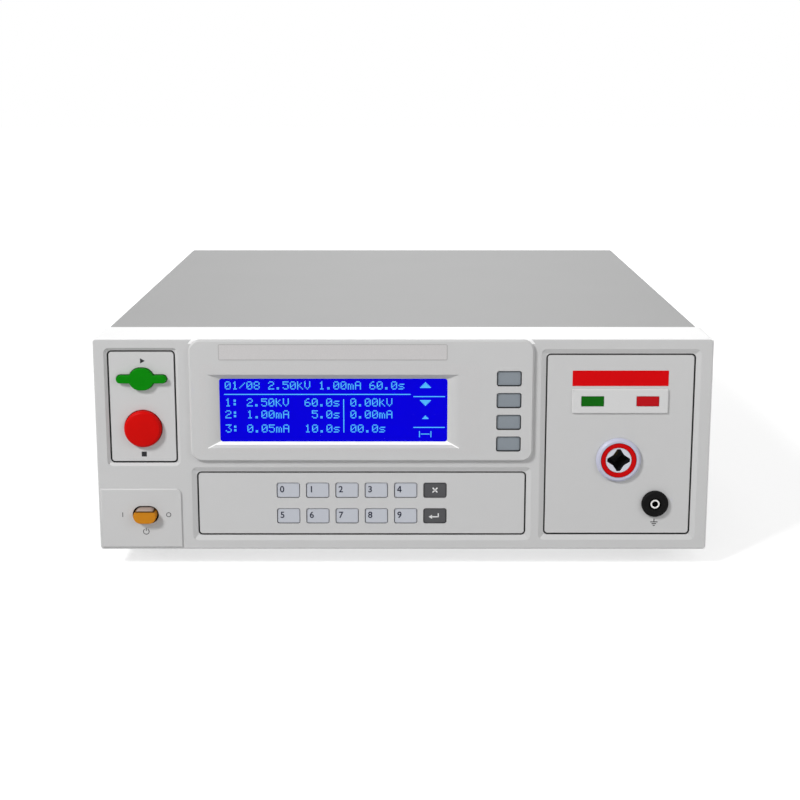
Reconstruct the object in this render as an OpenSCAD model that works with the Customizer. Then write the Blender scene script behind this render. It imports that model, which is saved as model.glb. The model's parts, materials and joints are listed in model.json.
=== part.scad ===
// Benchtop high-voltage withstand tester.
// x runs across the front, y from the front face to the back, z up; millimetres.
// The origin is under the middle of the instrument, on the surface it stands on.

/* [Case] */
// Width of the front bezel
case_w = 430; // [400:1:460]
// Height of the front bezel
case_h = 153; // [145:1:165]
// Depth of the front bezel
bezel_d = 40; // [38:1:50]
// Depth of the cover behind the bezel
cover_d = 400; // [380:1:440]
// Wall of the moulded bezel
bezel_wall = 3; // [2.5:0.1:3.5]
// Corner radius of the bezel, seen from the front
bezel_r = 3; // [2:0.1:5]
// Rounding along the bezel's front edges
edge_r = 1.5; // [1:0.1:1.8]
// How far the cover stands in from the bezel's edges
cover_step = 1.2; // [1.1:0.1:1.4]
// Outside bend radius of the cover
bend_r = 3; // [2:0.1:5]
// Sheet metal thickness
sheet_t = 1.2; // [1:0.1:1.5]
// Gap between sheet metal pieces that slide together
sheet_gap = 0.3; // [0.2:0.05:0.4]
// How far the rear panel stands in from the cover's rear edge
rear_inset = 2; // [1:0.5:4]
// How far the chassis reaches into the bezel
tongue = 8; // [6:0.5:9]
// Height of the chassis side flanges
flange_h = 20; // [16:1:30]

/* [Front pockets] */
// Depth of the sloped border round each inset plate
pocket_d = 1.5; // [1:0.1:2.5]
// Thickness of the inset plates
plate_t = 2; // [1.5:0.1:3]
// Dark gap round each inset plate
plate_gap = 1.2; // [0.8:0.1:1.4]
// Corner radius of the inset plates
plate_r = 2; // [1:0.1:4]
// Width of the sloped border
border_w = 3.5; // [3:0.1:4]
// Width of the sloped border round the start and stop plate
narrow_border_w = 2; // [1.6:0.1:3]
// Corner radius of the sloped border
border_r = 4; // [2:0.1:5]
// Flat land between the keypad's pocket and the output pocket
pocket_land = 5.5; // [4:0.1:7]

/* [Start, stop and power] */
// From the left edge to the line of the start, stop and power buttons
left_x = 33.5; // [33:0.1:35]
// Width of the start and stop plate
start_plate_w = 45; // [42:0.5:46]
// Height of the start and stop plate
start_plate_h = 78.4; // [76:0.5:80]
// From the top edge down to the middle of the start and stop plate
start_plate_top = 49; // [48:0.5:52]
// Start button above the middle of its plate
start_up = 20.1; // [18:0.1:22]
// Width of the start button's rounded middle
start_w = 17.4; // [16.5:0.1:20]
// Height of the start button's rounded middle
start_h = 15.4; // [14:0.1:16.5]
// Length over the start button's wings
start_wing_l = 35; // [30:0.5:38]
// Height of the start button's wings
start_wing_h = 5.5; // [5:0.1:9]
// How far the start button stands out from its plate
start_proud = 3; // [2:0.1:4]
// Travel of the start button
start_travel = 2.5; // [1.5:0.1:2.8]
// Stop button below the middle of its plate
stop_down = 15.5; // [14:0.1:17]
// Diameter of the stop button
stop_d = 26; // [24:0.2:27.4]
// How far the stop button stands out from its plate
stop_proud = 5; // [4:0.1:7]
// Travel of the stop button
stop_travel = 3; // [2:0.1:3.4]
// Clearance of a button in its hole
button_gap = 0.4; // [0.3:0.05:0.6]
// Diameter of the start and stop buttons' stems
stem_d = 6; // [5:0.1:8]
// Radial running clearance of a stem in its switch
stem_clear = 0.06; // [0.03:0.01:0.1]
// Side of the square push switches behind the buttons
push_switch_w = 32; // [31:0.5:34]
// Depth of the push switches
push_switch_d = 18; // [17:0.5:22]
// Right edge of the power plate from the left edge of the bezel
power_plate_w = 59.2; // [54:0.1:61]
// Top edge of the power plate above the bottom of the bezel
power_plate_h = 45.2; // [42:0.1:48]
// Thickness of the power plate
power_plate_t = 1; // [0.8:0.1:1.6]
// Bevel along the power plate's front edges
power_bevel = 0.6; // [0.2:0.1:0.7]
// Margin of the power plate from the bezel's left and bottom edges
power_margin = 2; // [1.8:0.1:4]
// Corner radius of the power plate's free corner
power_plate_r = 4.5; // [2:0.1:8]
// Height of the power button's middle above the bottom of the bezel
power_z = 26.2; // [22:0.1:30]
// Width of the power button
power_w = 16; // [14:0.1:20]
// Height of the power button
power_h = 10.4; // [8:0.1:12]
// How far the power button stands out from its plate
power_proud = 5; // [3:0.1:6]
// Travel of the power button
power_travel = 3; // [2:0.1:3.4]
// Open ring round the power button
power_ring = 1.2; // [0.6:0.1:2]
// Diameter of the power button's stem
power_stem_d = 4; // [3:0.1:5]

/* [Display] */
// From the left edge of the bezel to the display block
display_left = 66.9; // [65:0.1:68]
// Flat land between the display block and the output pocket
display_land = 5.1; // [4:0.1:7]
// Bottom of the display block above the bottom of the bezel
display_bottom = 65.8; // [65.5:0.1:67]
// Gap between the top of the display block and the top of the bezel
display_top_gap = 0.5; // [0.4:0.1:1.5]
// How far the display block stands out from the bezel
display_raise = 3; // [2:0.1:4]
// Front wall of the display block
display_wall = 3; // [2.5:0.1:4]
// Corner radius of the display block
display_r = 8; // [5:0.5:9]
// Bevel along the display block's front edges
display_bevel = 1.2; // [0.4:0.1:2]
// Inset of the display block's skirt from its outline
skirt_inset = 3; // [2.5:0.1:3.5]
// Wall of the skirt
skirt_wall = 2; // [1.5:0.1:2.2]
// Depth of the skirt behind the bezel's face
skirt_d = 5; // [4:0.5:7]
// From the left edge of the display block to the screen window
lcd_left = 20.4; // [18:0.1:22]
// From the screen window to the right edge of the display block
lcd_right = 59.7; // [58:0.1:62]
// From the top of the bezel down to the screen window
lcd_top = 28.5; // [27:0.1:30]
// From the screen window down to the bottom of the display block
lcd_bottom = 13.4; // [12:0.1:15]
// Corner radius of the screen window
lcd_r = 2; // [0.5:0.1:3]
// Depth of the sloped frame round the screen
lcd_depth = 4; // [3.5:0.1:5]
// Width of the sloped frame at the screen's left and right
lcd_side = 8; // [4:0.1:9]
// Width of the sloped frame above and below the screen
lcd_sill = 3.6; // [2:0.1:4]
// Straight lip between the sloped frame and the clear window
lcd_lip = 0.6; // [0.4:0.1:1]
// Thickness of the clear window
lens_t = 2; // [1.5:0.1:2.5]
// Rim of the clear window behind its frame
lens_rim = 2.5; // [2:0.1:3]

/* [Keys] */
// Left edge of the keypad plate from the left edge of the bezel
keypad_left = 71.2; // [70.5:0.1:73]
// Height of the keypad plate
keypad_h = 44.4; // [43:0.1:45]
// Middle of the keypad plate above the bottom of the bezel
keypad_z = 33.8; // [33:0.1:34.2]
// Width of a number key
key_w = 15.8; // [13:0.1:17]
// Height of a number key
key_h = 10.8; // [9:0.1:12.5]
// Distance between the key columns
key_pitch_x = 20.7; // [20.5:0.1:23]
// Distance between the key rows
key_pitch_z = 18.9; // [18:0.1:20]
// Corner radius of the keys
key_r = 1.4; // [0.8:0.1:2]
// How far the keys' faces lie below the face of their plate
key_recess = 0.7; // [0:0.1:0.7]
// Bevel along a key's front edges
key_bevel = 0.4; // [0.2:0.1:0.6]
// Clearance of a key in its hole
key_gap = 0.35; // [0.3:0.05:0.5]
// Travel of a key
key_travel = 1.2; // [0.8:0.1:1.5]
// Retaining flange round the back of a key
key_flange = 1.2; // [0.8:0.1:1.5]
// Width of a screen key
soft_key_w = 16.6; // [15:0.1:17.5]
// Screen key column from the right edge of the display block
soft_key_right = 17.2; // [16.5:0.1:18]
// Space between neighbouring screen keys
soft_key_space = 5.3; // [4.8:0.1:7]
// How far the outer screen keys' middles lie past the screen window's edges
soft_key_over = 0.75; // [0:0.05:1]
// How far the screen keys' faces lie below the face of the display block
soft_key_recess = 1.3; // [0.4:0.1:1.4]
// Space between the back of the front wall and the circuit boards
board_space = 5.5; // [5.2:0.1:8]
// Thickness of the circuit boards
board_t = 1.6; // [1:0.1:2]
// Side of a key switch
tact_w = 6; // [5:0.1:8]
// Height of a key switch's body
tact_h = 2; // [1.5:0.1:2.2]
// Height of a key switch's plunger
tact_plunger = 0.6; // [0.4:0.1:0.8]
// Diameter of a key switch's plunger
tact_plunger_d = 3.5; // [3:0.1:4]

/* [Output] */
// From the right edge of the bezel to the middle of the output plate
output_right = 63.8; // [63:0.1:64.5]
// Width of the output plate
output_w = 101.4; // [98:0.1:102]
// From the bottom of the bezel to the output plate
output_bottom = 11.9; // [10:0.1:13]
// From the output plate to the top of the bezel
output_top = 12.1; // [10:0.1:13]
// Lamp frame above the middle of the output plate
lamp_up = 31.9; // [30:0.1:34]
// Width of the lamp frame
lamp_frame_w = 67; // [60:0.5:72]
// Height of the lamp frame
lamp_frame_h = 17.4; // [15:0.1:19]
// How far the lamp frame stands out from its plate
lamp_proud = 1.4; // [0.6:0.1:1.4]
// Width of a lamp
lamp_w = 15.4; // [12:0.1:18]
// Height of a lamp
lamp_h = 6.8; // [5:0.1:8]
// Distance of each lamp from the middle of its frame
lamp_x = 19.2; // [17:0.1:21]
// High-voltage socket below the middle of the output plate
hv_down = 10.5; // [8:0.5:12]
// Outer diameter of the high-voltage socket
hv_d = 31.5; // [30:0.5:36]
// How far the high-voltage socket stands out from its plate
hv_proud = 3; // [2:0.1:4]
// Outer diameter of the coloured ring
hv_ring_d = 24.8; // [23:0.1:25.5]
// Outer diameter of the socket's insulating core
hv_core_d = 18.2; // [17:0.1:19]
// Distance over the points of the star-shaped plug hole
hv_star_d = 16; // [14:0.1:16]
// Width of each blunt point of the star
hv_star_tip = 2.2; // [1.2:0.1:2.4]
// Side of the square between the star's four inner corners
hv_star_waist = 7.6; // [6.4:0.1:7.6]
// Depth of the star-shaped plug hole
hv_hole_d = 21; // [18:0.5:24]
// Diameter of the high-voltage contact
hv_contact_d = 6; // [5:0.1:6.4]
// Return socket to the right of the middle of the output plate
return_x = 26.6; // [25:0.1:28]
// Return socket below the middle of the output plate
return_down = 42.6; // [40:0.1:44]
// Outer diameter of the return socket
return_d = 18.9; // [17:0.1:21]
// How far the return socket stands out from its plate
return_proud = 3; // [2:0.1:4]
// Bore of the return contact for a plug pin
return_bore = 4.1; // [4:0.05:4.3]
// Outer diameter of the return contact
return_contact_d = 6.6; // [5.6:0.1:6.6]
// Assembly clearance of sockets, lamps and frames in their holes
fit = 0.2; // [0.1:0.05:0.3]

/* [Feet] */
// Height of the instrument's bezel above the surface
foot_h = 14; // [12:0.5:15]
// Width of a foot
foot_w = 46; // [42:1:50]
// Length of a foot
foot_l = 30; // [30:1:36]
// Middle of the feet from the case's sides
foot_side = 40; // [34:1:60]
// Front feet behind the bezel
foot_front = 26; // [22:1:60]
// Rear feet before the rear edge
foot_rear = 40; // [30:1:60]
// Width of a tilt leg
leg_w = 26; // [22:0.5:28]
// Length of a tilt leg from its pivot to its end
leg_l = 22; // [18:0.5:22]
// Thickness of a tilt leg
leg_t = 6; // [5:0.1:7]
// Diameter of a tilt leg's pivot
pivot_d = 3; // [2.5:0.1:4]
// Radial running clearance of pivots and shafts
pivot_clear = 0.05; // [0.03:0.01:0.1]
// Clearance beside and above a folded tilt leg
leg_gap = 0.4; // [0.3:0.05:0.6]

/* [Inside] */
// Width of the high-voltage transformer's core
core_w = 100; // [90:1:110]
// Height of the high-voltage transformer's core
core_h = 86; // [80:1:100]
// Stack of the high-voltage transformer's core
core_d = 50; // [40:1:60]
// Width of the core's middle leg
core_leg = 34; // [28:1:36]
// Gap between the bezel and the high-voltage transformer
core_front = 65; // [50:1:75]
// Middle of the high-voltage transformer left of the output plate's middle
core_left = 10; // [0:1:20]
// Diameter of the mains transformer
toroid_d = 116; // [100:1:120]
// Middle of the mains transformer from the left side
toroid_side = 95; // [80:1:100]
// Gap between the mains transformer and the rear panel
toroid_gap = 12; // [4:1:20]
// Height of the mains transformer
toroid_h = 54; // [45:1:65]
// Width of the control board
control_w = 150; // [120:1:160]
// Control board's front edge behind the bezel
control_front = 30; // [24:1:60]
// Gap between the control board and the mains transformer
control_gap = 18.8; // [8:0.1:40]
// Middle of the control board to the left of the middle
control_left = 75; // [70:1:85]
// Height of the control board above the chassis
standoff_h = 10; // [8:0.5:15]
// Width of the heat sink
sink_w = 104; // [92:1:110]
// Height of the heat sink
sink_h = 70; // [60:1:90]
// Length of the heat sink
sink_l = 140; // [100:1:150]
// Distance between the heat sink's fins
fin_pitch = 8; // [6:0.5:12]
// Gap between the heat sink and the fan
sink_gap = 15; // [8:1:20]

/* [Rear] */
// Side of the fan
fan_w = 80; // [76:1:92]
// Depth of the fan
fan_d = 25; // [24:0.5:30]
// Middle of the fan from the right side
fan_side = 120; // [95:1:130]
// Middle of the fan above the bottom of the bezel
fan_z = 74; // [68:1:78]
// Number of fan blades
blade_count = 7; // [5:1:9]
// Thickness of a fan blade
blade_t = 1.6; // [1.2:0.1:2]
// Wire of the fan guard
wire_d = 1.6; // [1.2:0.1:2]
// Middle of the mains inlet from the left side
inlet_side = 50; // [45:1:75]
// Middle of the mains inlet below the top of the bezel
inlet_top = 45; // [38:1:53]
// Middle of the serial port from the left side
port_side = 155; // [135:1:165]
// Middle of the serial port below the top of the bezel
port_top = 53; // [43:1:73]
// Number of vent slots on each side
vent_count = 12; // [6:1:14]
// Width of a vent slot
vent_w = 3; // [2:0.5:4]
// Length of a vent slot
vent_l = 46; // [30:1:60]
// Distance between vent slots
vent_pitch = 9; // [7:0.5:10]
// Gap between the fan and the vent slots
vent_gap = 20; // [10:1:40]
// Front side screws behind the bezel
side_screw_front = 60; // [40:1:90]
// Rear side screws before the rear edge
side_screw_rear = 90; // [60:1:120]
// Upper side screws below the cover's top
side_screw_drop = 24; // [18:1:40]
// Outer rear screws from the sides
rear_screw_side = 65; // [50:1:75]
// Shank diameter of the case screws
screw_d = 3.8; // [3:0.1:4]
// Head diameter of the case screws
screw_head_d = 7; // [6:0.1:8]
// Head height of the case screws
screw_head_h = 1; // [0.8:0.1:1]

/* [Hidden] */
$fn = 48;

// Overlap that keeps fused shapes and through cuts clean
eps = 0.5;

// Depth levels behind the front face
case_d = bezel_d + cover_d;
plate_back = pocket_d + plate_t;
floor_back = plate_back + bezel_wall;
board_y = floor_back + board_space;
display_back = display_wall - display_raise;
lens_y = lcd_depth - display_raise;
lens_back = lens_y + lens_t;
rear_out = case_d - rear_inset;
rear_in = rear_out - sheet_t;
flange_y = bezel_d - tongue;

// Overall depth, from the power button to the serial port's jack screws
port_reach = 6;
front_reach = max(stop_proud - pocket_d, display_raise, power_plate_t + power_proud);
rear_reach = max(rear_out + port_reach, case_d) - case_d;
face_y = front_reach - (front_reach + case_d + rear_reach) / 2;

// Heights and side faces
chassis_z = bezel_wall + sheet_gap;
tray_top = chassis_z + sheet_t;
tray_x = case_w / 2 - bezel_wall - sheet_gap;
cover_x = case_w / 2 - cover_step;
cover_in_x = cover_x - sheet_t;
cover_top = case_h - cover_step;
cover_in_top = cover_top - sheet_t;

// Middles of the front groups
left_cx = left_x - case_w / 2;
start_plate_z = case_h - start_plate_top;
start_z = start_plate_z + start_up;
stop_z = start_plate_z - stop_down;
output_x = case_w / 2 - output_right;
output_h = case_h - output_bottom - output_top;
output_z = output_bottom + output_h / 2;
output_pocket_left = output_x - output_w / 2 - plate_gap - border_w;
keypad_w = output_pocket_left - pocket_land - border_w - plate_gap + case_w / 2 - keypad_left;
keypad_x = keypad_left + keypad_w / 2 - case_w / 2;
hv_z = output_z - hv_down;
return_z = output_z - return_down;
lamp_z = output_z + lamp_up;
display_h = case_h - display_top_gap - display_bottom;
display_w = output_pocket_left - display_land + case_w / 2 - display_left;
display_x = display_left + display_w / 2 - case_w / 2;
display_z = display_bottom + display_h / 2;
lcd_w = display_w - lcd_left - lcd_right;
lcd_h = case_h - lcd_top - display_bottom - lcd_bottom;
screen_x = display_left + lcd_left + lcd_w / 2 - case_w / 2;
screen_z = display_bottom + lcd_bottom + lcd_h / 2;
soft_x = display_x + display_w / 2 - soft_key_right;

// Keys
key_columns = 6;
key_rows = 2;
soft_keys = 4;
function key_x(column) = keypad_x + (column - (key_columns - 1) / 2) * key_pitch_x;
function key_z(row) = keypad_z + ((key_rows - 1) / 2 - row) * key_pitch_z;
soft_key_pitch = (lcd_h + 2 * soft_key_over) / (soft_keys - 1);
soft_key_h = soft_key_pitch - soft_key_space;
function soft_z(i) = screen_z + ((soft_keys - 1) / 2 - i) * soft_key_pitch;
key_stem_d = 4;
key_slack = 0.2;
key_seat = 0.3;
key_flange_t = 1;
key_stem_y = board_y - tact_h - tact_plunger - key_travel - key_slack;
key_field_gap = 1;
key_field_margin = key_flange + key_field_gap;
key_field_w = (key_columns - 1) * key_pitch_x + key_w + 2 * key_field_margin;
key_field_h = (key_rows - 1) * key_pitch_z + key_h + 2 * key_field_margin;
post_d = 5;
post_gap = 1;
key_post_x = key_field_w / 2 + post_d / 2 + 2 * post_gap;
key_post_z = key_field_h / 2 - post_d;
board_rim = 1;
key_board_w = 2 * (key_post_x + post_d / 2 + board_rim);
key_board_h = key_field_h;

// Screen module and its board
lens_w = lcd_w + 2 * lens_rim;
lens_h = lcd_h + 2 * lens_rim;
skirt_w = display_w - 2 * skirt_inset;
skirt_h = display_h - 2 * skirt_inset;
skirt_r = display_r - skirt_inset;
screen_gap = 0.2;
display_board_left = screen_x - lens_w / 2 - skirt_wall - post_gap - post_d;
display_board_right = soft_x + soft_key_w / 2;
display_board_w = display_board_right - display_board_left;
display_board_x = (display_board_left + display_board_right) / 2;
display_board_gap = 3;
display_board_h = skirt_h - 2 * (skirt_wall + display_board_gap);
display_post_left = display_board_left + post_d / 2;
display_post_right = soft_x - soft_key_w / 2 - key_flange - post_d;
display_post_z = display_board_h / 2 - post_d / 2 - board_rim;

// Bezel bosses that the chassis front flange is screwed to
boss_d = 7;
boss_inset = 9;
boss_x = case_w / 2 - boss_inset;

// Feet
foot_x = case_w / 2 - foot_side;
foot_front_y = bezel_d + foot_front;
foot_rear_y = case_d - foot_rear;
foot_r = 5;
leg_lift = 2;
pivot_inset = 6;
pivot_y = foot_front_y - foot_l / 2 + pivot_inset;
pivot_z = leg_lift + leg_t / 2 - foot_h;
pivot_reach = 4;

// Inside
core_y = bezel_d + core_front + core_d / 2;
core_x = output_x - core_left;
core_window_w = (core_w - 2 * core_leg) / 2;
core_yoke = core_leg / 2;
coil_gap = 0.5;
coil_r = 4;
coil_air = 1;
coil_overhang = core_window_w - coil_air;
toroid_x = toroid_side - case_w / 2;
toroid_y = rear_in - toroid_gap - toroid_d / 2;
toroid_hole_d = 36;
control_x = -control_left;
control_l = toroid_y - toroid_d / 2 - control_gap - bezel_d - control_front;
control_y = bezel_d + control_front + control_l / 2;
control_post_d = 7;
sink_base_t = 6;
fin_t = 2.4;
sink_y = rear_in - fan_d - sink_gap - sink_l;

// Rear
fan_x = case_w / 2 - fan_side;
inlet_x = case_w / 2 - inlet_side;
inlet_z = case_h - inlet_top;
port_x = case_w / 2 - port_side;
port_z = case_h - port_top;
fan_y = rear_in - fan_d;
fan_wall = 1.5;
fan_bore_d = fan_w - 2 * fan_wall;
fan_r = 4;
fan_hub_d = 34;
fan_hub_t = 4;
fan_shaft_d = 3;
fan_tip_gap = 1.2;
fan_shaft_end = 6;
fan_axial_gap = 0.5;
fan_rear_gap = 3;
fan_hole_inset = 4.25;
fan_hole = fan_w / 2 - fan_hole_inset;
fan_hole_d = 4.3;
blade_angle = 40;
guard_lift = 0.1;
guard_cross_y = guard_lift + wire_d / 2;
guard_seat = guard_cross_y + wire_d / 2;
inlet_flange_w = 50;
inlet_flange_h = 24;
inlet_flange_t = 3;
inlet_flange_r = 4;
inlet_w = 28;
inlet_h = 20;
inlet_d = 22;
inlet_cavity_w = 24.4;
inlet_cavity_h = 16.4;
inlet_cavity_d = 17;
inlet_chamfer = 4;
inlet_hole = 20;
pin_w = 2;
pin_h = 4;
pin_l = 15;
pin_x = 7;
pin_z = 2;
port_flange_w = 31;
port_flange_h = 12.5;
port_flange_r = 2;
port_shell_w = 17;
port_shell_h = 8.4;
port_d = 10;
jack_x = 12.5;
jack_d = 5;

// Case screws: height of the low and high rows, and where they sit along the sides
screw_low = tray_top + flange_h / 2;
screw_high = cover_in_top - side_screw_drop;
screw_l = 7;
screw_hole_d = screw_d + 2 * fit;
side_screw_y = [bezel_d + side_screw_front, case_d - side_screw_rear];
rear_screw_x = [rear_screw_side - case_w / 2, 0, case_w / 2 - rear_screw_side];
panel_lip = 14;

// Puts a piece given from the front face and the bezel's bottom into the instrument's frame
module place() {
    translate([0, face_y, foot_h]) children();
}

// Runs a front outline from one depth to another
module extrude_y(y0, y1) {
    translate([0, y1, 0]) rotate([90, 0, 0]) linear_extrude(y1 - y0) children();
}

// Round bar along y
module rod_y(d, y0, y1) {
    translate([0, y0, 0]) rotate([-90, 0, 0]) cylinder(d = d, h = y1 - y0);
}

// Round bar along x
module rod_x(d, x0, x1) {
    translate([x0, 0, 0]) rotate([0, 90, 0]) cylinder(d = d, h = x1 - x0);
}

// Turns a profile of radius and depth about the y axis
module turned_y() {
    rotate([-90, 0, 0]) rotate_extrude() children();
}

module at(x, z) {
    translate([x, 0, z]) children();
}

module rounded_rect(w, h, r) {
    square([w - 2 * r, h], center = true);
    square([w, h - 2 * r], center = true);
    for (sx = [-1, 1], sy = [-1, 1]) {
        translate([sx * (w / 2 - r), sy * (h / 2 - r)]) circle(r);
    }
}

// Slot with round ends
module slot_2d(l, h) {
    square([l - h, h], center = true);
    for (s = [-1, 1]) translate([s * (l - h) / 2, 0]) circle(d = h);
}

// Block with four sloped sides, from one rectangle at y0 to another at y1
module sloped_block(w0, h0, w1, h1, y0, y1) {
    intersection() {
        translate([0, 0, -h0]) linear_extrude(2 * h0)
            polygon([[-w0 / 2, y0], [w0 / 2, y0], [w1 / 2, y1], [-w1 / 2, y1]]);
        translate([-w0, 0, 0]) rotate([0, 90, 0]) linear_extrude(2 * w0)
            polygon([[-h0 / 2, y0], [h0 / 2, y0], [h1 / 2, y1], [-h1 / 2, y1]]);
    }
}

// Rounded slab whose front edges are bevelled all round
module bevelled_slab(w, h, r, bevel, y0, y1) {
    extrude_y(y0 + bevel, y1) rounded_rect(w, h, r);
    translate([0, 0, r - h / 2]) linear_extrude(h - 2 * r) bevel_profile(w, bevel, y0);
    translate([r - w / 2, 0, 0]) rotate([0, 90, 0]) linear_extrude(w - 2 * r) bevel_profile(h, bevel, y0);
    for (sx = [-1, 1], sz = [-1, 1]) at(sx * (w / 2 - r), sz * (h / 2 - r)) {
        translate([0, y0, 0]) rotate([-90, 0, 0]) cylinder(r1 = r - bevel, r2 = r, h = bevel);
    }
}

// Trapezium that widens by one bevel on each side behind the front
module bevel_profile(w, bevel, y0) {
    polygon([[bevel - w / 2, y0], [w / 2 - bevel, y0], [w / 2, y0 + bevel], [-w / 2, y0 + bevel]]);
}

// Cut of an inset plate's pocket: sloped border, then the seat of the plate
module pocket_cut(w, h, border) {
    seat_w = w + 2 * plate_gap;
    seat_h = h + 2 * plate_gap;
    slope = border / pocket_d;
    intersection() {
        sloped_block(seat_w + 2 * border + 2 * slope * eps, seat_h + 2 * border + 2 * slope * eps,
            seat_w, seat_h, -eps, pocket_d);
        extrude_y(-2 * eps, pocket_d + eps)
            rounded_rect(seat_w + 2 * border, seat_h + 2 * border, border_r);
    }
    extrude_y(pocket_d - eps, plate_back) rounded_rect(seat_w, seat_h, plate_r + plate_gap);
}

// Wall left behind a pocket
module pocket_backing(w, h, border) {
    rim = plate_gap + border + bezel_wall;
    extrude_y(0, floor_back) square([w + 2 * rim, h + 2 * rim], center = true);
}

// Outlines of the buttons, grown by a clearance
module start_shape(grow) {
    slot_2d(start_w + 2 * grow, start_h + 2 * grow);
    slot_2d(start_wing_l + 2 * grow, start_wing_h + 2 * grow);
}

module power_shape(grow) {
    slot_2d(power_w + 2 * grow, power_h + 2 * grow);
}

module key_shape(grow) {
    rounded_rect(key_w + 2 * grow, key_h + 2 * grow, key_r + grow);
}

module soft_key_shape(grow) {
    rounded_rect(soft_key_w + 2 * grow, soft_key_h + 2 * grow, key_r + grow);
}

// Outside of the bezel: front outline, with the front edges rounded over
module bezel_block() {
    intersection() {
        at(0, case_h / 2) extrude_y(0, bezel_d) rounded_rect(case_w, case_h, bezel_r);
        translate([-case_w, 0, 0]) rotate([90, 0, 90]) linear_extrude(2 * case_w) {
            translate([edge_r, 0]) square([bezel_d, case_h]);
            translate([0, edge_r]) square([bezel_d, case_h - 2 * edge_r]);
            for (z = [edge_r, case_h - edge_r]) translate([edge_r, z]) circle(edge_r);
        }
        translate([0, 0, -eps]) linear_extrude(case_h + 2 * eps) {
            translate([-case_w / 2, edge_r]) square([case_w, bezel_d]);
            translate([edge_r - case_w / 2, 0]) square([case_w - 2 * edge_r, bezel_d]);
            for (s = [-1, 1]) translate([s * (case_w / 2 - edge_r), edge_r]) circle(edge_r);
        }
    }
}

// Hollow of the bezel, round the pocket backings, the bosses and the key board's posts
module bezel_hollow() {
    difference() {
        at(0, case_h / 2) extrude_y(bezel_wall, bezel_d + eps)
            square([case_w - 2 * bezel_wall, case_h - 2 * bezel_wall], center = true);
        at(left_cx, start_plate_z) pocket_backing(start_plate_w, start_plate_h, narrow_border_w);
        at(keypad_x, keypad_z) pocket_backing(keypad_w, keypad_h, border_w);
        at(output_x, output_z) pocket_backing(output_w, output_h, border_w);
        for (x = [-boss_x, boss_x], z = [boss_inset, case_h - boss_inset]) {
            at(x, z) rod_y(boss_d, 0, flange_y);
        }
        for (sx = [-1, 1], sz = [-1, 1]) {
            at(keypad_x + sx * key_post_x, keypad_z + sz * key_post_z) rod_y(post_d, 0, board_y);
        }
    }
}

// Moulded front with its sloped pockets
module front_bezel() {
    color("gainsboro") place() difference() {
        bezel_block();
        bezel_hollow();
        at(left_cx, start_plate_z) pocket_cut(start_plate_w, start_plate_h, narrow_border_w);
        at(keypad_x, keypad_z) pocket_cut(keypad_w, keypad_h, border_w);
        at(output_x, output_z) pocket_cut(output_w, output_h, border_w);
        at(left_cx, start_z) extrude_y(0, floor_back + eps) start_shape(2 * button_gap);
        at(left_cx, stop_z) rod_y(stop_d + 4 * button_gap, 0, floor_back + eps);
        at(left_cx, power_z) extrude_y(-eps, bezel_wall + eps) power_shape(power_ring);
        at(keypad_x, keypad_z) extrude_y(0, floor_back + eps)
            square([key_field_w, key_field_h], center = true);
        at(display_x, display_z) extrude_y(-eps, floor_back)
            rounded_rect(skirt_w + 2 * fit, skirt_h + 2 * fit, skirt_r + fit);
        output_openings(0, floor_back + eps);
    }
}

// Holes for the lamps and sockets, through the output plate and the wall behind it
module output_openings(y0, y1) {
    at(output_x, lamp_z) extrude_y(y0, y1)
        square([lamp_body_w + 2 * fit, lamp_body_h + 2 * fit], center = true);
    at(output_x, hv_z) rod_y(hv_body_d + 2 * fit, y0, y1);
    at(output_x + return_x, return_z) rod_y(return_body_d + 2 * fit, y0, y1);
}

// Inset plate that carries the start and stop buttons
module start_stop_plate() {
    color("silver") place() difference() {
        at(left_cx, start_plate_z) extrude_y(pocket_d, plate_back)
            rounded_rect(start_plate_w, start_plate_h, plate_r);
        at(left_cx, start_z) extrude_y(0, floor_back) start_shape(button_gap);
        at(left_cx, stop_z) rod_y(stop_d + 2 * button_gap, 0, floor_back);
    }
}

// What rounds the power plate's free corner off, bevel and all
module power_corner_cut() {
    r = power_plate_r;
    translate([-r, -power_plate_t, -r]) difference() {
        translate([0, -eps, 0]) cube([r + eps, power_plate_t + 2 * eps, r + eps]);
        rotate([-90, 0, 0]) cylinder(r1 = r - power_bevel, r2 = r, h = power_bevel);
        rod_y(2 * r, power_bevel, power_plate_t + 2 * eps);
    }
}

// Raised plate in the lower left corner, one corner rounded large
module power_plate() {
    w = power_plate_w - power_margin;
    h = power_plate_h - power_margin;
    color("lightgray") place() difference() {
        at(power_margin + w / 2 - case_w / 2, power_margin + h / 2) {
            bevelled_slab(w, h, power_bevel, power_bevel, -power_plate_t, 0);
        }
        at(power_plate_w - case_w / 2, power_plate_h) power_corner_cut();
        at(left_cx, power_z) extrude_y(-power_plate_t - eps, eps) power_shape(power_ring);
    }
}

// Inset plate with the twelve key holes
module keypad_plate() {
    color("silver") place() difference() {
        at(keypad_x, keypad_z) extrude_y(pocket_d, plate_back)
            rounded_rect(keypad_w, keypad_h, plate_r);
        for (column = [0 : key_columns - 1], row = [0 : key_rows - 1]) {
            at(key_x(column), key_z(row)) extrude_y(0, floor_back) key_shape(key_gap);
        }
    }
}

// Inset plate with the lamps and the two output sockets
module output_plate() {
    color("silver") place() difference() {
        at(output_x, output_z) extrude_y(pocket_d, plate_back)
            rounded_rect(output_w, output_h, plate_r);
        output_openings(0, floor_back);
    }
}

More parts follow.
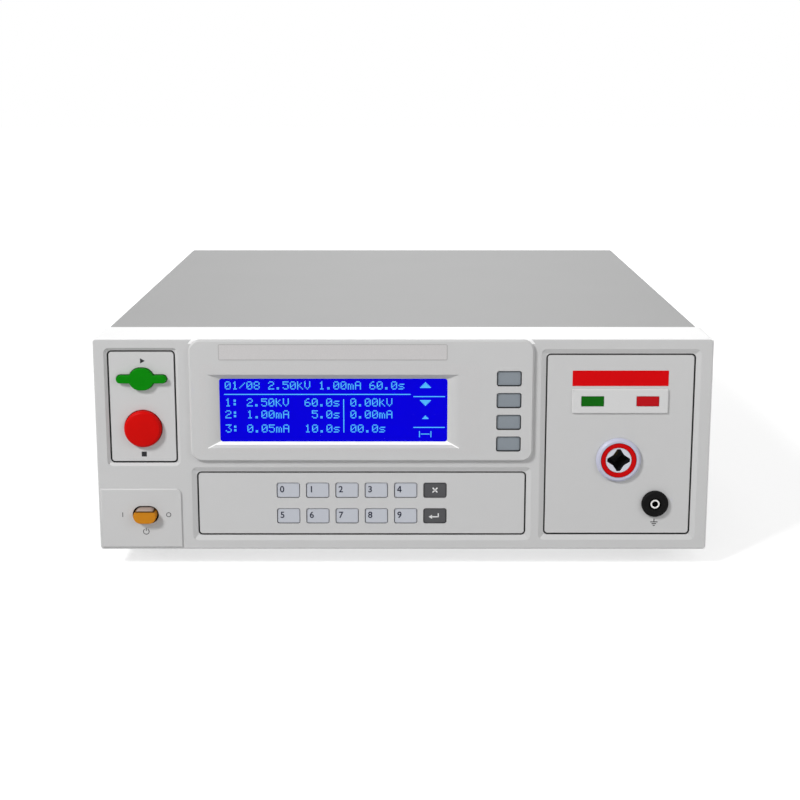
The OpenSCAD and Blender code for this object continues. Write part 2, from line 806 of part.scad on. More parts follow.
// Raised display block with a skirt through the bezel, a seat for the clear window
// and posts for the board behind
module display_bezel() {
    color("lightgray") place() difference() {
        union() {
            at(display_x, display_z)
                bevelled_slab(display_w, display_h, display_r, display_bevel, -display_raise, display_back);
            at(display_x, display_z) extrude_y(display_back - eps, skirt_d) difference() {
                rounded_rect(skirt_w, skirt_h, skirt_r);
                square([skirt_w - 2 * skirt_wall, skirt_h - 2 * skirt_wall], center = true);
            }
            at(screen_x, screen_z) extrude_y(display_back - eps, lens_back)
                square([lens_w + 2 * skirt_wall, lens_h + 2 * skirt_wall], center = true);
            for (x = [display_post_left, display_post_right], s = [-1, 1]) {
                at(x, display_z + s * display_post_z) rod_y(post_d, display_back - eps, board_y);
            }
        }
        slope_d = lcd_depth - lcd_lip;
        grow = 1 + eps / slope_d;
        at(screen_x, screen_z) {
            sloped_block(lcd_w + 2 * lcd_side * grow, lcd_h + 2 * lcd_sill * grow,
                lcd_w, lcd_h, -display_raise - eps, slope_d - display_raise);
            extrude_y(slope_d - display_raise - eps, lens_back) rounded_rect(lcd_w, lcd_h, lcd_r);
            extrude_y(lens_y, lens_back + eps)
                square([lens_w + 2 * fit, lens_h + 2 * fit], center = true);
        }
        for (i = [0 : soft_keys - 1]) {
            at(soft_x, soft_z(i)) extrude_y(-display_raise - eps, display_back + eps)
                soft_key_shape(key_gap);
        }
    }
}

// Clear window in front of the screen
module lcd_lens() {
    color("lightblue", 0.4) place() at(screen_x, screen_z) extrude_y(lens_y, lens_back)
        square([lens_w, lens_h], center = true);
}

// Screen module: glass and its metal frame
module lcd_module() {
    glass_t = 1;
    glass_y = lens_back + screen_gap;
    frame_y = glass_y + glass_t;
    color("mediumblue") place() at(screen_x, screen_z) {
        extrude_y(glass_y, frame_y + eps) square([lens_w - lens_rim, lens_h - lens_rim], center = true);
        extrude_y(frame_y, board_y) square([lens_w, lens_h], center = true);
    }
}

// One key switch, with its back at the board
module key_switch() {
    extrude_y(board_y - tact_h, board_y + eps) square([tact_w, tact_w], center = true);
    rod_y(tact_plunger_d, board_y - tact_h - tact_plunger, board_y);
}

// Board behind the screen and the screen keys
module display_board() {
    color("darkgreen") place() {
        at(display_board_x, display_z) extrude_y(board_y, board_y + board_t)
            square([display_board_w, display_board_h], center = true);
        for (i = [0 : soft_keys - 1]) at(soft_x, soft_z(i)) key_switch();
    }
}

// Screen key: cap, retaining flange and stem
module soft_key(i) {
    flange_front = display_back + key_seat;
    color("slategray") place() at(soft_x, soft_z(i)) {
        bevelled_slab(soft_key_w, soft_key_h, key_r, key_bevel, soft_key_recess - display_raise,
            flange_front + eps);
        extrude_y(flange_front, flange_front + key_flange_t) soft_key_shape(key_flange);
        rod_y(key_stem_d, flange_front, key_stem_y);
    }
}

// Board behind the keypad
module key_board() {
    color("darkgreen") place() {
        at(keypad_x, keypad_z) extrude_y(board_y, board_y + board_t)
            square([key_board_w, key_board_h], center = true);
        for (column = [0 : key_columns - 1], row = [0 : key_rows - 1]) {
            at(key_x(column), key_z(row)) key_switch();
        }
    }
}

// Keypad key: cap, retaining flange and stem
module keypad_key(column, row) {
    flange_front = plate_back + key_seat;
    place() at(key_x(column), key_z(row)) {
        bevelled_slab(key_w, key_h, key_r, key_bevel, pocket_d + key_recess, flange_front + eps);
        extrude_y(flange_front, flange_front + key_flange_t) key_shape(key_flange);
        rod_y(key_stem_d, flange_front, key_stem_y);
    }
}

// Number keys 0 to 4 in the top row, 5 to 9 in the bottom row
module number_key(i) {
    per_row = key_columns - 1;
    color("whitesmoke") keypad_key(i % per_row, floor(i / per_row));
}

module cancel_key() {
    color("dimgray") keypad_key(key_columns - 1, 0);
}

module enter_key() {
    color("dimgray") keypad_key(key_columns - 1, 1);
}

// Seats of the push switches and the buttons' stems
push_recess_d = 1.5;
push_recess = stop_d + 6 * button_gap;
push_stem_l = 8;
push_spare = 1;
push_stem_y = floor_back + push_recess_d + push_stem_l;
push_bore_y = push_stem_y + max(start_travel, stop_travel) + push_spare;
terminal_t = 0.8;
terminal_w = 4;
terminal_l = 5;

// Green start button: round middle with two wings
module start_button() {
    color("forestgreen") place() at(left_cx, start_z) {
        extrude_y(pocket_d - start_proud, plate_back) start_shape(0);
        rod_y(stem_d, pocket_d, push_stem_y);
    }
}

// Red stop button with a shallow domed face
module stop_button() {
    rim = 1.5;
    dome = 0.8;
    front = pocket_d - stop_proud;
    r = stop_d / 2;
    dome_r = ((r - rim) * (r - rim) + dome * dome) / (2 * dome);
    color("firebrick") place() at(left_cx, stop_z) {
        intersection() {
            union() {
                turned_y() polygon([[0, plate_back], [r, plate_back], [r, front + dome + rim],
                    [r - rim, front + dome], [0, front + dome]]);
                rod_y(2 * (r - rim), front, front + dome + eps);
            }
            translate([0, front + dome_r, 0]) rotate([-90, 0, 0]) sphere(dome_r);
        }
        rod_y(stem_d, pocket_d, push_stem_y);
    }
}

// The two push switches behind the start and stop buttons
module push_switches() {
    back = floor_back + push_switch_d;
    color("dimgray") place() for (z = [start_z, stop_z]) at(left_cx, z) {
        difference() {
            extrude_y(floor_back, back) rounded_rect(push_switch_w, push_switch_w, plate_r);
            rod_y(push_recess, floor_back - eps, floor_back + push_recess_d);
            rod_y(stem_d + 2 * stem_clear, floor_back, push_bore_y);
        }
        for (sx = [-1, 1], sz = [-1, 1]) {
            at(sx * push_switch_w / 4, sz * push_switch_w / 4)
                extrude_y(back - eps, back + terminal_l) square([terminal_t, terminal_w], center = true);
        }
    }
}

// Orange push button for the mains
power_back = bezel_wall;
power_slack = 1.5;
power_stem_l = 7;
power_switch_rim = 3;
power_switch_end = 4;
power_recess_d = power_travel + power_slack;
power_stem_y = power_back + power_recess_d + power_stem_l;

module power_button() {
    color("darkorange") place() at(left_cx, power_z) {
        extrude_y(-power_plate_t - power_proud, power_back) power_shape(0);
        rod_y(power_stem_d, 0, power_stem_y);
    }
}

// Latching mains switch behind the power button
module power_switch() {
    body_w = power_w + 2 * (power_ring + power_switch_rim);
    body_h = power_h + 2 * (power_ring + power_switch_rim);
    body_back = power_stem_y + power_travel + power_switch_end;
    color("dimgray") place() at(left_cx, power_z) {
        difference() {
            extrude_y(power_back, body_back) square([body_w, body_h], center = true);
            extrude_y(power_back - eps, power_back + power_recess_d) power_shape(power_ring);
            rod_y(power_stem_d + 2 * stem_clear, power_back, power_stem_y + power_travel + push_spare);
        }
        for (sx = [-1, 1], sz = [-1, 1]) {
            at(sx * body_w / 4, sz * body_h / 4)
                extrude_y(body_back - eps, body_back + terminal_l)
                    square([terminal_t, terminal_w], center = true);
        }
    }
}

// Lamps
lamp_rim = 2;
lamp_body_w = lamp_frame_w - 2 * lamp_rim;
lamp_body_h = lamp_frame_h - 2 * lamp_rim;
lamp_tail = 2.5;
lamp_body_y = floor_back + lamp_tail;
lamp_front = pocket_d - lamp_proud;
lamp_flange = 1.5;
lamp_flange_t = 1;
lamp_frame_r = 1;
lamp_bevel = 0.4;
lamp_board_y = lamp_body_y + lamp_flange_t;

// White frame that holds both lamps
module lamp_frame() {
    color("white") place() at(output_x, lamp_z) difference() {
        union() {
            bevelled_slab(lamp_frame_w, lamp_frame_h, lamp_frame_r, lamp_bevel, lamp_front, pocket_d);
            extrude_y(pocket_d - eps, lamp_body_y) square([lamp_body_w, lamp_body_h], center = true);
        }
        for (s = [-1, 1]) {
            at(s * lamp_x, 0) extrude_y(lamp_front - eps, lamp_body_y + eps)
                square([lamp_w + 2 * fit, lamp_h + 2 * fit], center = true);
        }
    }
}

// Lamp lens with a light guide and a seating flange
module lamp(side) {
    proud = 0.3;
    place() at(output_x + side * lamp_x, lamp_z) {
        extrude_y(lamp_front - proud, lamp_board_y) square([lamp_w, lamp_h], center = true);
        extrude_y(lamp_body_y, lamp_board_y)
            square([lamp_w + 2 * lamp_flange, lamp_h + 2 * lamp_flange], center = true);
    }
}

module green_lamp() {
    color("green") lamp(-1);
}

module red_lamp() {
    color("red") lamp(1);
}

// Small board with the two light sources
module lamp_board() {
    color("darkgreen") place() at(output_x, lamp_z) extrude_y(lamp_board_y, lamp_board_y + board_t)
        square([lamp_body_w, lamp_body_h], center = true);
}

// High-voltage socket
hv_front = pocket_d - hv_proud;
hv_wall = 1.5;
hv_body_d = hv_ring_d + 2 * hv_wall;
hv_seat = 1;
hv_shoulder = plate_back + hv_seat;
hv_tail = 5;
hv_back = floor_back + hv_tail;
hv_collar_t = 4;
hv_collar_d = hv_ring_d - hv_seat;
hv_step = 0.5;
hv_contact_l = 8;
hv_contact_end = 6;
hv_contact_y = hv_front + 2 * hv_step + hv_hole_d;
hv_core_y = hv_contact_y + hv_contact_l;
contact_rim = 1.5;
contact_rim_t = 2;

// Outer ring of the high-voltage socket, with a chamfered front edge
module hv_socket_flange() {
    chamfer = hv_proud / 2;
    r = hv_d / 2;
    ring_r = hv_ring_d / 2 + fit;
    core_r = hv_core_d / 2 + fit;
    color("lavender") place() at(output_x, hv_z) turned_y() polygon([
        [ring_r, hv_front], [r - chamfer, hv_front], [r, hv_front + chamfer], [r, pocket_d],
        [hv_body_d / 2, pocket_d], [hv_body_d / 2, hv_back], [core_r, hv_back],
        [core_r, hv_shoulder], [ring_r, hv_shoulder]]);
}

// Red ring round the core
module hv_socket_ring() {
    color("crimson") place() at(output_x, hv_z) difference() {
        rod_y(hv_ring_d, hv_front + hv_step, hv_shoulder);
        rod_y(hv_core_d + 2 * fit, hv_front, hv_shoulder + eps);
    }
}

// Four-pointed outline of the plug hole
module star_2d() {
    tip = hv_star_d / 2;
    corner = hv_star_waist / 2;
    for (a = [0, 90]) rotate(a) polygon([
        [tip, hv_star_tip / 2], [corner, corner], [-corner, corner], [-tip, hv_star_tip / 2],
        [-tip, -hv_star_tip / 2], [-corner, -corner], [corner, -corner], [tip, -hv_star_tip / 2]]);
}

// Insulating core with the star-shaped plug hole
module hv_socket_core() {
    front = hv_front + 2 * hv_step;
    color("white") place() at(output_x, hv_z) difference() {
        union() {
            rod_y(hv_core_d, front, hv_core_y);
            rod_y(hv_collar_d, hv_back, hv_back + hv_collar_t);
        }
        extrude_y(front - eps, hv_contact_y) star_2d();
        rod_y(hv_contact_d + 2 * stem_clear, hv_contact_y - eps, hv_core_y + eps);
    }
}

// Brass contact at the end of the plug hole
module hv_contact() {
    color("goldenrod") place() at(output_x, hv_z) {
        rod_y(hv_contact_d, hv_contact_y, hv_core_y + hv_contact_end);
        rod_y(hv_contact_d + 2 * contact_rim, hv_core_y, hv_core_y + contact_rim_t);
    }
}

// Return socket
return_front = pocket_d - return_proud;
return_body_d = 13;
return_tail = 6;
return_back = floor_back + return_tail;
return_recess_d = 9;
return_recess = 2;
return_lip = 1;
return_seat = return_front + return_recess;
return_end = return_back + 2 * contact_rim_t;

// Black insulating body of the return socket
module return_socket() {
    chamfer = return_proud / 3;
    r = return_d / 2;
    bore_r = return_contact_d / 2 + stem_clear;
    color("black") place() at(output_x + return_x, return_z) turned_y() polygon([
        [return_recess_d / 2, return_front], [r - chamfer, return_front],
        [r, return_front + chamfer], [r, pocket_d], [return_body_d / 2, pocket_d],
        [return_body_d / 2, return_back], [bore_r, return_back],
        [bore_r, return_seat], [return_recess_d / 2, return_seat]]);
}

// Metal contact of the return socket, bored for a plug pin
module return_contact() {
    color("silver") place() at(output_x + return_x, return_z) difference() {
        union() {
            rod_y(return_contact_d, return_seat - return_lip, return_end);
            rod_y(return_contact_d + 2 * contact_rim, return_back, return_back + contact_rim_t);
        }
        rod_y(return_bore, return_front, return_back);
    }
}

// Sheet metal tray: floor, front frame, side and rear flanges and board posts
module chassis() {
    frame_rim = 17;
    tray_w = 2 * tray_x;
    frame_h = case_h - 2 * chassis_z;
    side_y = bezel_d + sheet_gap;
    color("lightsteelblue") place() difference() {
        union() {
            translate([-tray_x, flange_y, chassis_z]) cube([tray_w, rear_in - flange_y, sheet_t]);
            difference() {
                translate([-tray_x, flange_y, chassis_z]) cube([tray_w, sheet_t, frame_h]);
                translate([frame_rim - tray_x, flange_y - eps, chassis_z + frame_rim])
                    cube([tray_w - 2 * frame_rim, sheet_t + 2 * eps, frame_h - 2 * frame_rim]);
            }
            for (x = [-tray_x, tray_x - sheet_t]) {
                translate([x, side_y, chassis_z]) cube([sheet_t, rear_in - side_y, flange_h + sheet_t]);
            }
            translate([-tray_x, rear_in - sheet_t, chassis_z]) cube([tray_w, sheet_t, flange_h + sheet_t]);
            for (sx = [-1, 1], sy = [-1, 1]) {
                translate([control_x + sx * (control_w / 2 - control_post_d),
                    control_y + sy * (control_l / 2 - control_post_d), chassis_z])
                    cylinder(d = control_post_d, h = sheet_t + standoff_h);
            }
        }
        for (y = side_screw_y) {
            translate([0, y, screw_low]) rod_x(screw_hole_d, -case_w, case_w);
        }
        for (x = rear_screw_x) at(x, screw_low) rod_y(screw_hole_d, rear_in - 2 * sheet_t, rear_in + eps);
    }
}

// Rear sheet with side lips, the fan opening and the connector cut-outs
module rear_panel() {
    half_w = cover_in_x - sheet_gap;
    top = cover_in_top - sheet_gap;
    lip_gap = 2;
    lip_z = tray_top + flange_h + lip_gap;
    color("lightgray") place() difference() {
        union() {
            translate([-half_w, rear_in, chassis_z]) cube([2 * half_w, sheet_t, top - chassis_z]);
            for (x = [-half_w, half_w - sheet_t]) {
                translate([x, rear_out - panel_lip, lip_z]) cube([sheet_t, panel_lip, top - lip_z]);
            }
        }
        at(fan_x, fan_z) rod_y(fan_bore_d, rear_in - eps, rear_out + eps);
        for (sx = [-1, 1], sz = [-1, 1]) {
            at(fan_x + sx * fan_hole, fan_z + sz * fan_hole) rod_y(fan_hole_d, rear_in - eps, rear_out + eps);
        }
        at(-inlet_x, inlet_z) extrude_y(rear_in - eps, rear_out + eps) {
            square([inlet_w + 2 * fit, inlet_h + 2 * fit], center = true);
        }
        at(-port_x, port_z) extrude_y(rear_in - eps, rear_out + eps) {
            square([port_shell_w + 2 * fit, port_shell_h + 2 * fit], center = true);
        }
        for (x = rear_screw_x) at(x, screw_low) rod_y(screw_hole_d, rear_in - eps, rear_out + eps);
        for (s = [-1, 1]) {
            at(-inlet_x + s * inlet_hole, inlet_z) rod_y(screw_hole_d, rear_in - eps, rear_out + eps);
        }
        translate([0, rear_out - panel_lip / 2, screw_high]) rod_x(screw_hole_d, -case_w, case_w);
    }
}

// Folded cover: top and both sides, with vent slots and screw holes
module top_cover() {
    vent_y = fan_y - vent_gap;
    vent_z = (screw_low + screw_high) / 2;
    color("silver") place() difference() {
        extrude_y(bezel_d, case_d) difference() {
            union() {
                translate([-cover_x, chassis_z]) square([2 * cover_x, cover_top - chassis_z - bend_r]);
                translate([bend_r - cover_x, chassis_z])
                    square([2 * (cover_x - bend_r), cover_top - chassis_z]);
                for (s = [-1, 1]) translate([s * (cover_x - bend_r), cover_top - bend_r]) circle(bend_r);
            }
            translate([-cover_in_x, chassis_z - eps])
                square([2 * cover_in_x, cover_in_top - chassis_z + eps]);
        }
        for (i = [0 : vent_count - 1]) {
            translate([-case_w, vent_y - i * vent_pitch, vent_z]) rotate([90, 0, 90])
                linear_extrude(2 * case_w) rotate(90) slot_2d(vent_l, vent_w);
        }
        for (y = side_screw_y) {
            translate([0, y, screw_low]) rod_x(screw_hole_d, -case_w, case_w);
        }
        translate([0, rear_out - panel_lip / 2, screw_high]) rod_x(screw_hole_d, -case_w, case_w);
    }
}

// Screw with a low head; the seat of the head is at the origin, the shank along x
module screw() {
    rod_x(screw_head_d, -screw_head_h, 0);
    rod_x(screw_d, -screw_head_h / 2, screw_l);
}

// Screws of the cover's sides, the rear panel, the fan guard and the mains inlet
module case_screws() {
    color("gray") place() {
        for (s = [0, 1]) mirror([s, 0, 0]) {
            for (y = side_screw_y) translate([-cover_x, y, screw_low]) screw();
            translate([-cover_x, rear_out - panel_lip / 2, screw_high]) screw();
        }
        for (x = rear_screw_x) translate([x, rear_out, screw_low]) rotate([0, 0, -90]) screw();
        for (sx = [-1, 1], sz = [-1, 1]) {
            translate([fan_x + sx * fan_hole, rear_out + guard_seat, fan_z + sz * fan_hole])
                rotate([0, 0, -90]) screw();
        }
        for (s = [-1, 1]) {
            translate([-inlet_x + s * inlet_hole, rear_out + inlet_flange_t, inlet_z])
                rotate([0, 0, -90]) screw();
        }
    }
}

// One foot standing under the chassis; a front foot has the slot and bores of its tilt leg
module foot(with_leg) {
    difference() {
        translate([0, 0, -foot_h]) linear_extrude(foot_h + chassis_z)
            rounded_rect(foot_w, foot_l, foot_r);
        if (with_leg) {
            slot_w = leg_w + 2 * leg_gap;
            slot_top = pivot_z + leg_t / 2 + leg_gap;
            bore_x = leg_w / 2 + pivot_reach + leg_gap;
            translate([-slot_w / 2, -foot_l, -2 * foot_h]) cube([slot_w, 2 * foot_l, slot_top + 2 * foot_h]);
            translate([0, pivot_inset - foot_l / 2, pivot_z])
                rod_x(pivot_d + 2 * pivot_clear, -bore_x, bore_x);
        }
    }
}

module feet() {
    color("dimgray") place() for (s = [-1, 1]) {
        translate([s * foot_x, foot_front_y, 0]) foot(true);
        translate([s * foot_x, foot_rear_y, 0]) foot(false);
    }
}

// Folding leg with its two pivots, folded up in its foot
module tilt_leg(side) {
    color("gray") place() translate([side * foot_x, pivot_y, pivot_z]) {
        translate([-leg_w / 2, 0, 0]) rotate([90, 0, 90]) linear_extrude(leg_w) {
            translate([0, -leg_t / 2]) square([leg_l - leg_t / 2, leg_t]);
            circle(d = leg_t);
            translate([leg_l - leg_t / 2, 0]) circle(d = leg_t);
        }
        rod_x(pivot_d, -leg_w / 2 - pivot_reach, leg_w / 2 + pivot_reach);
    }
}

module tilt_leg_left() {
    tilt_leg(-1);
}

module tilt_leg_right() {
    tilt_leg(1);
}

// Laminated core of the high-voltage transformer, standing on the tray
module hv_core() {
    color("darkslategray") place() translate([core_x, core_y, tray_top + core_h / 2])
        extrude_y(-core_d / 2, core_d / 2) difference() {
            square([core_w, core_h], center = true);
            for (s = [-1, 1]) translate([s * (core_leg + core_window_w) / 2, 0])
                square([core_window_w, core_h - 2 * core_yoke], center = true);
        }
}

// Winding round the core's middle leg
module hv_coil() {
    h = core_h - 2 * core_yoke - 2 * coil_gap;
    inner_w = core_leg + 2 * coil_gap;
    inner_d = core_d + 2 * coil_gap;
    grow = 2 * coil_overhang - 2 * coil_gap;
    color("peru") place() translate([core_x, core_y, tray_top + core_h / 2 - h / 2])
        linear_extrude(h) difference() {
            rounded_rect(inner_w + grow, inner_d + grow, coil_r);
            square([inner_w, inner_d], center = true);
        }
}

// Ring-wound mains transformer with its clamping dish and bolt
module mains_transformer() {
    dish_t = 2;
    dish_rim = 10;
    bolt_d = 8;
    bolt_end = 8;
    edge = 10;
    r = toroid_d / 2;
    color("khaki") place() translate([toroid_x, toroid_y, tray_top]) {
        rotate_extrude() difference() {
            translate([toroid_hole_d / 2, 0]) square([r - toroid_hole_d / 2, toroid_h]);
            translate([r - edge, toroid_h - edge]) difference() {
                square(edge + eps);
                circle(edge);
            }
        }
        translate([0, 0, toroid_h - dish_t]) cylinder(d = toroid_hole_d + 2 * dish_rim, h = 2 * dish_t);
        cylinder(d = bolt_d, h = toroid_h + bolt_end);
    }
}

// Control board with relays, capacitors and a shielding can
module control_board() {
    relay = [16, 20, 16];
    can = [44, 60, 12];
    relay_pitch = 22.4;
    cap_d = 16;
    cap_h = 26;
    cap_pitch = 20.8;
    z = standoff_h + board_t;
    color("darkgreen") place() translate([control_x, control_y, tray_top]) {
        translate([-control_w / 2, -control_l / 2, standoff_h]) cube([control_w, control_l, board_t]);
        for (i = [0 : 3]) {
            translate([i * relay_pitch - control_w / 3, control_l / 4, z - eps]) cube(relay);
        }
        translate([-can[0] / 2, -control_l / 3, z - eps]) cube(can);
        for (i = [0 : 2]) translate([control_w / 3, i * cap_pitch - control_l / 4, z - eps])
            cylinder(d = cap_d, h = cap_h);
    }
}

// Finned heat sink of the output stage, in the fan's air stream
module heat_sink() {
    fin_count = floor((sink_w - fin_t) / fin_pitch) + 1;
    first = -(fin_count - 1) * fin_pitch / 2;
    color("slategray") place() translate([fan_x, 0, tray_top]) extrude_y(sink_y, sink_y + sink_l) {
        translate([-sink_w / 2, 0]) square([sink_w, sink_base_t]);
        for (i = [0 : fin_count - 1]) {
            translate([first + i * fin_pitch - fin_t / 2, 0]) square([fin_t, sink_h]);
        }
    }
}

// Fan housing with its motor seat, struts and shaft
module fan_frame() {
    strut_w = 4;
    color("black") place() at(fan_x, fan_z) {
        difference() {
            extrude_y(fan_y, rear_in) rounded_rect(fan_w, fan_w, fan_r);
            rod_y(fan_bore_d, fan_y - eps, rear_in + eps);
            for (sx = [-1, 1], sz = [-1, 1]) {
                at(sx * fan_hole, sz * fan_hole) rod_y(fan_hole_d, fan_y - eps, rear_in + eps);
            }
        }
        rod_y(fan_hub_d, fan_y, fan_y + fan_hub_t);
        extrude_y(fan_y, fan_y + fan_hub_t) for (a = [45, 135]) rotate(a) {
            square([fan_bore_d + 2 * eps, strut_w], center = true);
        }
        rod_y(fan_shaft_d, fan_y, rear_in - fan_shaft_end);
    }
}

// Fan wheel: hub bored for the shaft, with pitched blades
module fan_rotor() {
    front = fan_y + fan_hub_t + fan_axial_gap;
    back = rear_in - fan_rear_gap;
    blade_margin = 1;
    blade_root = 2;
    chord = (back - front - 2 * blade_margin) / sin(blade_angle);
    tip_d = fan_bore_d - 2 * fan_tip_gap;
    color("dimgray") place() at(fan_x, fan_z) difference() {
        union() {
            rod_y(fan_hub_d, front, back);
            intersection() {
                rod_y(tip_d, front, back);
                for (i = [0 : blade_count - 1]) rotate([0, i * 360 / blade_count, 0])
                    translate([0, (front + back) / 2, 0]) rotate([90 - blade_angle, 0, 0])
                        translate([fan_hub_d / 2 - blade_root, -chord / 2, -blade_t / 2])
                            cube([tip_d / 2, chord, blade_t]);
            }
        }
        rod_y(fan_shaft_d + 2 * pivot_clear, front - eps, back + eps);
    }
}

// Wire guard over the fan opening: rings on two crossed wires, with four eyes
module fan_guard() {
    eye_d = 8;
    ring_step = 9;
    weld = 0.25;
    ring_y = guard_cross_y + wire_d - weld;
    rings = floor((fan_bore_d / 2) / ring_step);
    reach = fan_hole * sqrt(2);
    color("silver") place() translate([fan_x, rear_out, fan_z]) difference() {
        union() {
            for (i = [1 : rings]) translate([0, ring_y, 0]) turned_y()
                translate([i * ring_step, 0]) circle(d = wire_d);
            for (a = [45, 135]) rotate([0, a, 0]) translate([0, guard_cross_y, 0])
                rod_x(wire_d, -reach, reach);
            for (sx = [-1, 1], sz = [-1, 1]) at(sx * fan_hole, sz * fan_hole) rod_y(eye_d, 0, guard_seat);
        }
        for (sx = [-1, 1], sz = [-1, 1]) {
            at(sx * fan_hole, sz * fan_hole) rod_y(screw_hole_d, -eps, 2 * wire_d);
        }
    }
}

// Mains inlet: flange outside the rear panel, body inside, cavity with two bevelled corners
module mains_inlet() {
    half_w = inlet_cavity_w / 2;
    half_h = inlet_cavity_h / 2;
    front = rear_out + inlet_flange_t;
    color("black") place() at(-inlet_x, inlet_z) difference() {
        union() {
            extrude_y(rear_out, front) rounded_rect(inlet_flange_w, inlet_flange_h, inlet_flange_r);
            extrude_y(front - inlet_d, rear_out + eps) square([inlet_w, inlet_h], center = true);
        }
        extrude_y(front - inlet_cavity_d, front + eps) polygon([[-half_w, -half_h], [half_w, -half_h],
            [half_w, half_h - inlet_chamfer], [half_w - inlet_chamfer, half_h],
            [inlet_chamfer - half_w, half_h], [-half_w, half_h - inlet_chamfer]]);
        for (s = [-1, 1]) at(s * inlet_hole, 0) rod_y(screw_hole_d, rear_out - eps, front + eps);
    }
}

// The three blades of the mains inlet
module inlet_pins() {
    floor_y = rear_out + inlet_flange_t - inlet_cavity_d;
    color("goldenrod") place() at(-inlet_x, inlet_z) {
        for (spot = [[-pin_x, -pin_z], [0, pin_z], [pin_x, -pin_z]]) {
            at(spot[0], spot[1]) extrude_y(floor_y, floor_y + pin_l) square([pin_w, pin_h], center = true);
        }
    }
}

// Outline of the nine-way port, narrower below
module port_outline(w, h, lean) {
    polygon([[lean - w, -h], [w - lean, -h], [w, h], [-w, h]]);
}

// Nine-way port: flange, shell with a sunk contact face, and two jack screws
module serial_port() {
    lean = 1.5;
    wall = 1;
    w = port_shell_w / 2;
    h = port_shell_h / 2;
    flange_t = 1;
    color("gray") place() at(-port_x, port_z) {
        difference() {
            union() {
                extrude_y(rear_out, rear_out + flange_t)
                    rounded_rect(port_flange_w, port_flange_h, port_flange_r);
                extrude_y(rear_out - port_d, rear_out + port_reach) port_outline(w, h, lean);
            }
            extrude_y(rear_out + flange_t, rear_out + port_reach + eps)
                port_outline(w - wall, h - wall, lean);
        }
        for (s = [-1, 1]) at(s * jack_x, 0) rod_y(jack_d, rear_out, rear_out + port_reach);
    }
}

front_bezel();
start_stop_plate();
power_plate();
keypad_plate();
output_plate();
display_bezel();
lcd_lens();
lcd_module();
display_board();
soft_key(0);  // soft_key_1
soft_key(1);  // soft_key_2
soft_key(2);  // soft_key_3
soft_key(3);  // soft_key_4
key_board();
number_key(0);  // number_key_0
number_key(1);  // number_key_1
number_key(2);  // number_key_2
number_key(3);  // number_key_3
number_key(4);  // number_key_4
number_key(5);  // number_key_5
number_key(6);  // number_key_6
number_key(7);  // number_key_7
number_key(8);  // number_key_8
number_key(9);  // number_key_9
cancel_key();
enter_key();
start_button();
stop_button();
push_switches();
power_button();
power_switch();
lamp_frame();
green_lamp();
red_lamp();
lamp_board();
hv_socket_flange();
hv_socket_ring();
hv_socket_core();
hv_contact();
return_socket();
return_contact();
chassis();
rear_panel();
top_cover();
feet();
tilt_leg_left();
tilt_leg_right();
case_screws();
hv_core();
hv_coil();
mains_transformer();
control_board();
heat_sink();
fan_frame();
fan_rotor();
fan_guard();
mains_inlet();
inlet_pins();
serial_port();
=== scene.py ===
# %% [markdown]
# # A benchtop high-voltage tester, dressed in Blender
# The tester is a sheet-metal box with a moulded front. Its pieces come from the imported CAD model,
# which holds every real size. This lesson adds the looks: rounded edges, finishes, printed marks,
# the lit screen, the light and the camera. Nothing that the CAD model placed is moved. Lengths are
# millimetres, times MM where Blender wants metres, unless a sentence says otherwise.

import json
import math

import bmesh
import bpy
from mathutils import Matrix, Vector


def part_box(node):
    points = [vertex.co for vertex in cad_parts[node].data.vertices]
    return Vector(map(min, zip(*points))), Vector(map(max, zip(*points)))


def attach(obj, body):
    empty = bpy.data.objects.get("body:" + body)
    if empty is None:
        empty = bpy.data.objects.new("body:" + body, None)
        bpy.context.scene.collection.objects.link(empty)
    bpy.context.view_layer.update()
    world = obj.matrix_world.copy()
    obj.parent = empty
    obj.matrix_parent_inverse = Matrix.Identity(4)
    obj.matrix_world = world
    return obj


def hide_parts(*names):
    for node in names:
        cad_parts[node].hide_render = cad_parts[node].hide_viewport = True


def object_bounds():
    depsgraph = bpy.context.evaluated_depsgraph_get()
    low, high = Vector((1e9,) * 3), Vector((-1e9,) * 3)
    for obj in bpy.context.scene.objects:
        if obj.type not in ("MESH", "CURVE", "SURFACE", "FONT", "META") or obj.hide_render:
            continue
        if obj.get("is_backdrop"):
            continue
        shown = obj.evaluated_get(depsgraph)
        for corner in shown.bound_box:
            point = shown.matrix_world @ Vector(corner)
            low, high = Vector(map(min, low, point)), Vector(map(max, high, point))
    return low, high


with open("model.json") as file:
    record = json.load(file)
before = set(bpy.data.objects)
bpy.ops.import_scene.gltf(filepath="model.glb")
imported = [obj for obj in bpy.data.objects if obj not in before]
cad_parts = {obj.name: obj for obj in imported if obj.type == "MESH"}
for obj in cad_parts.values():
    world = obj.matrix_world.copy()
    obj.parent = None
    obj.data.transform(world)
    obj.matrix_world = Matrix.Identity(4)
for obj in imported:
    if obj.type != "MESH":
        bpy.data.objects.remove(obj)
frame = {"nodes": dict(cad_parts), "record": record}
cad_low, cad_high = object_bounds()
nodes = frame["nodes"]
MM = 0.001
print("CAD pieces:", len(nodes), "box in mm:", [round(x / MM, 1) for x in cad_high - cad_low])

# %% [markdown]
# ## The camera
# A product picture like this is taken from above with a shifted lens, which keeps the front nearly a
# true rectangle while the top still shows. A camera that is only tilted makes the front taper. A
# part of each is used here: enough shift to calm the taper, and little enough that the tester stays
# in the frame when the camera goes round it.

# %% Place the camera
PICTURE_W = 800
FOCAL_PX = 1319.3
SENSOR_MM = 36.0
CAMERA_X = -2.06
CAMERA_BEFORE_FRONT = 890.5
CAMERA_HEIGHT = 355.6
CAMERA_PITCH = math.radians(10.11)
CAMERA_SHIFT = -0.13
front_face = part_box("front_bezel")[0].y


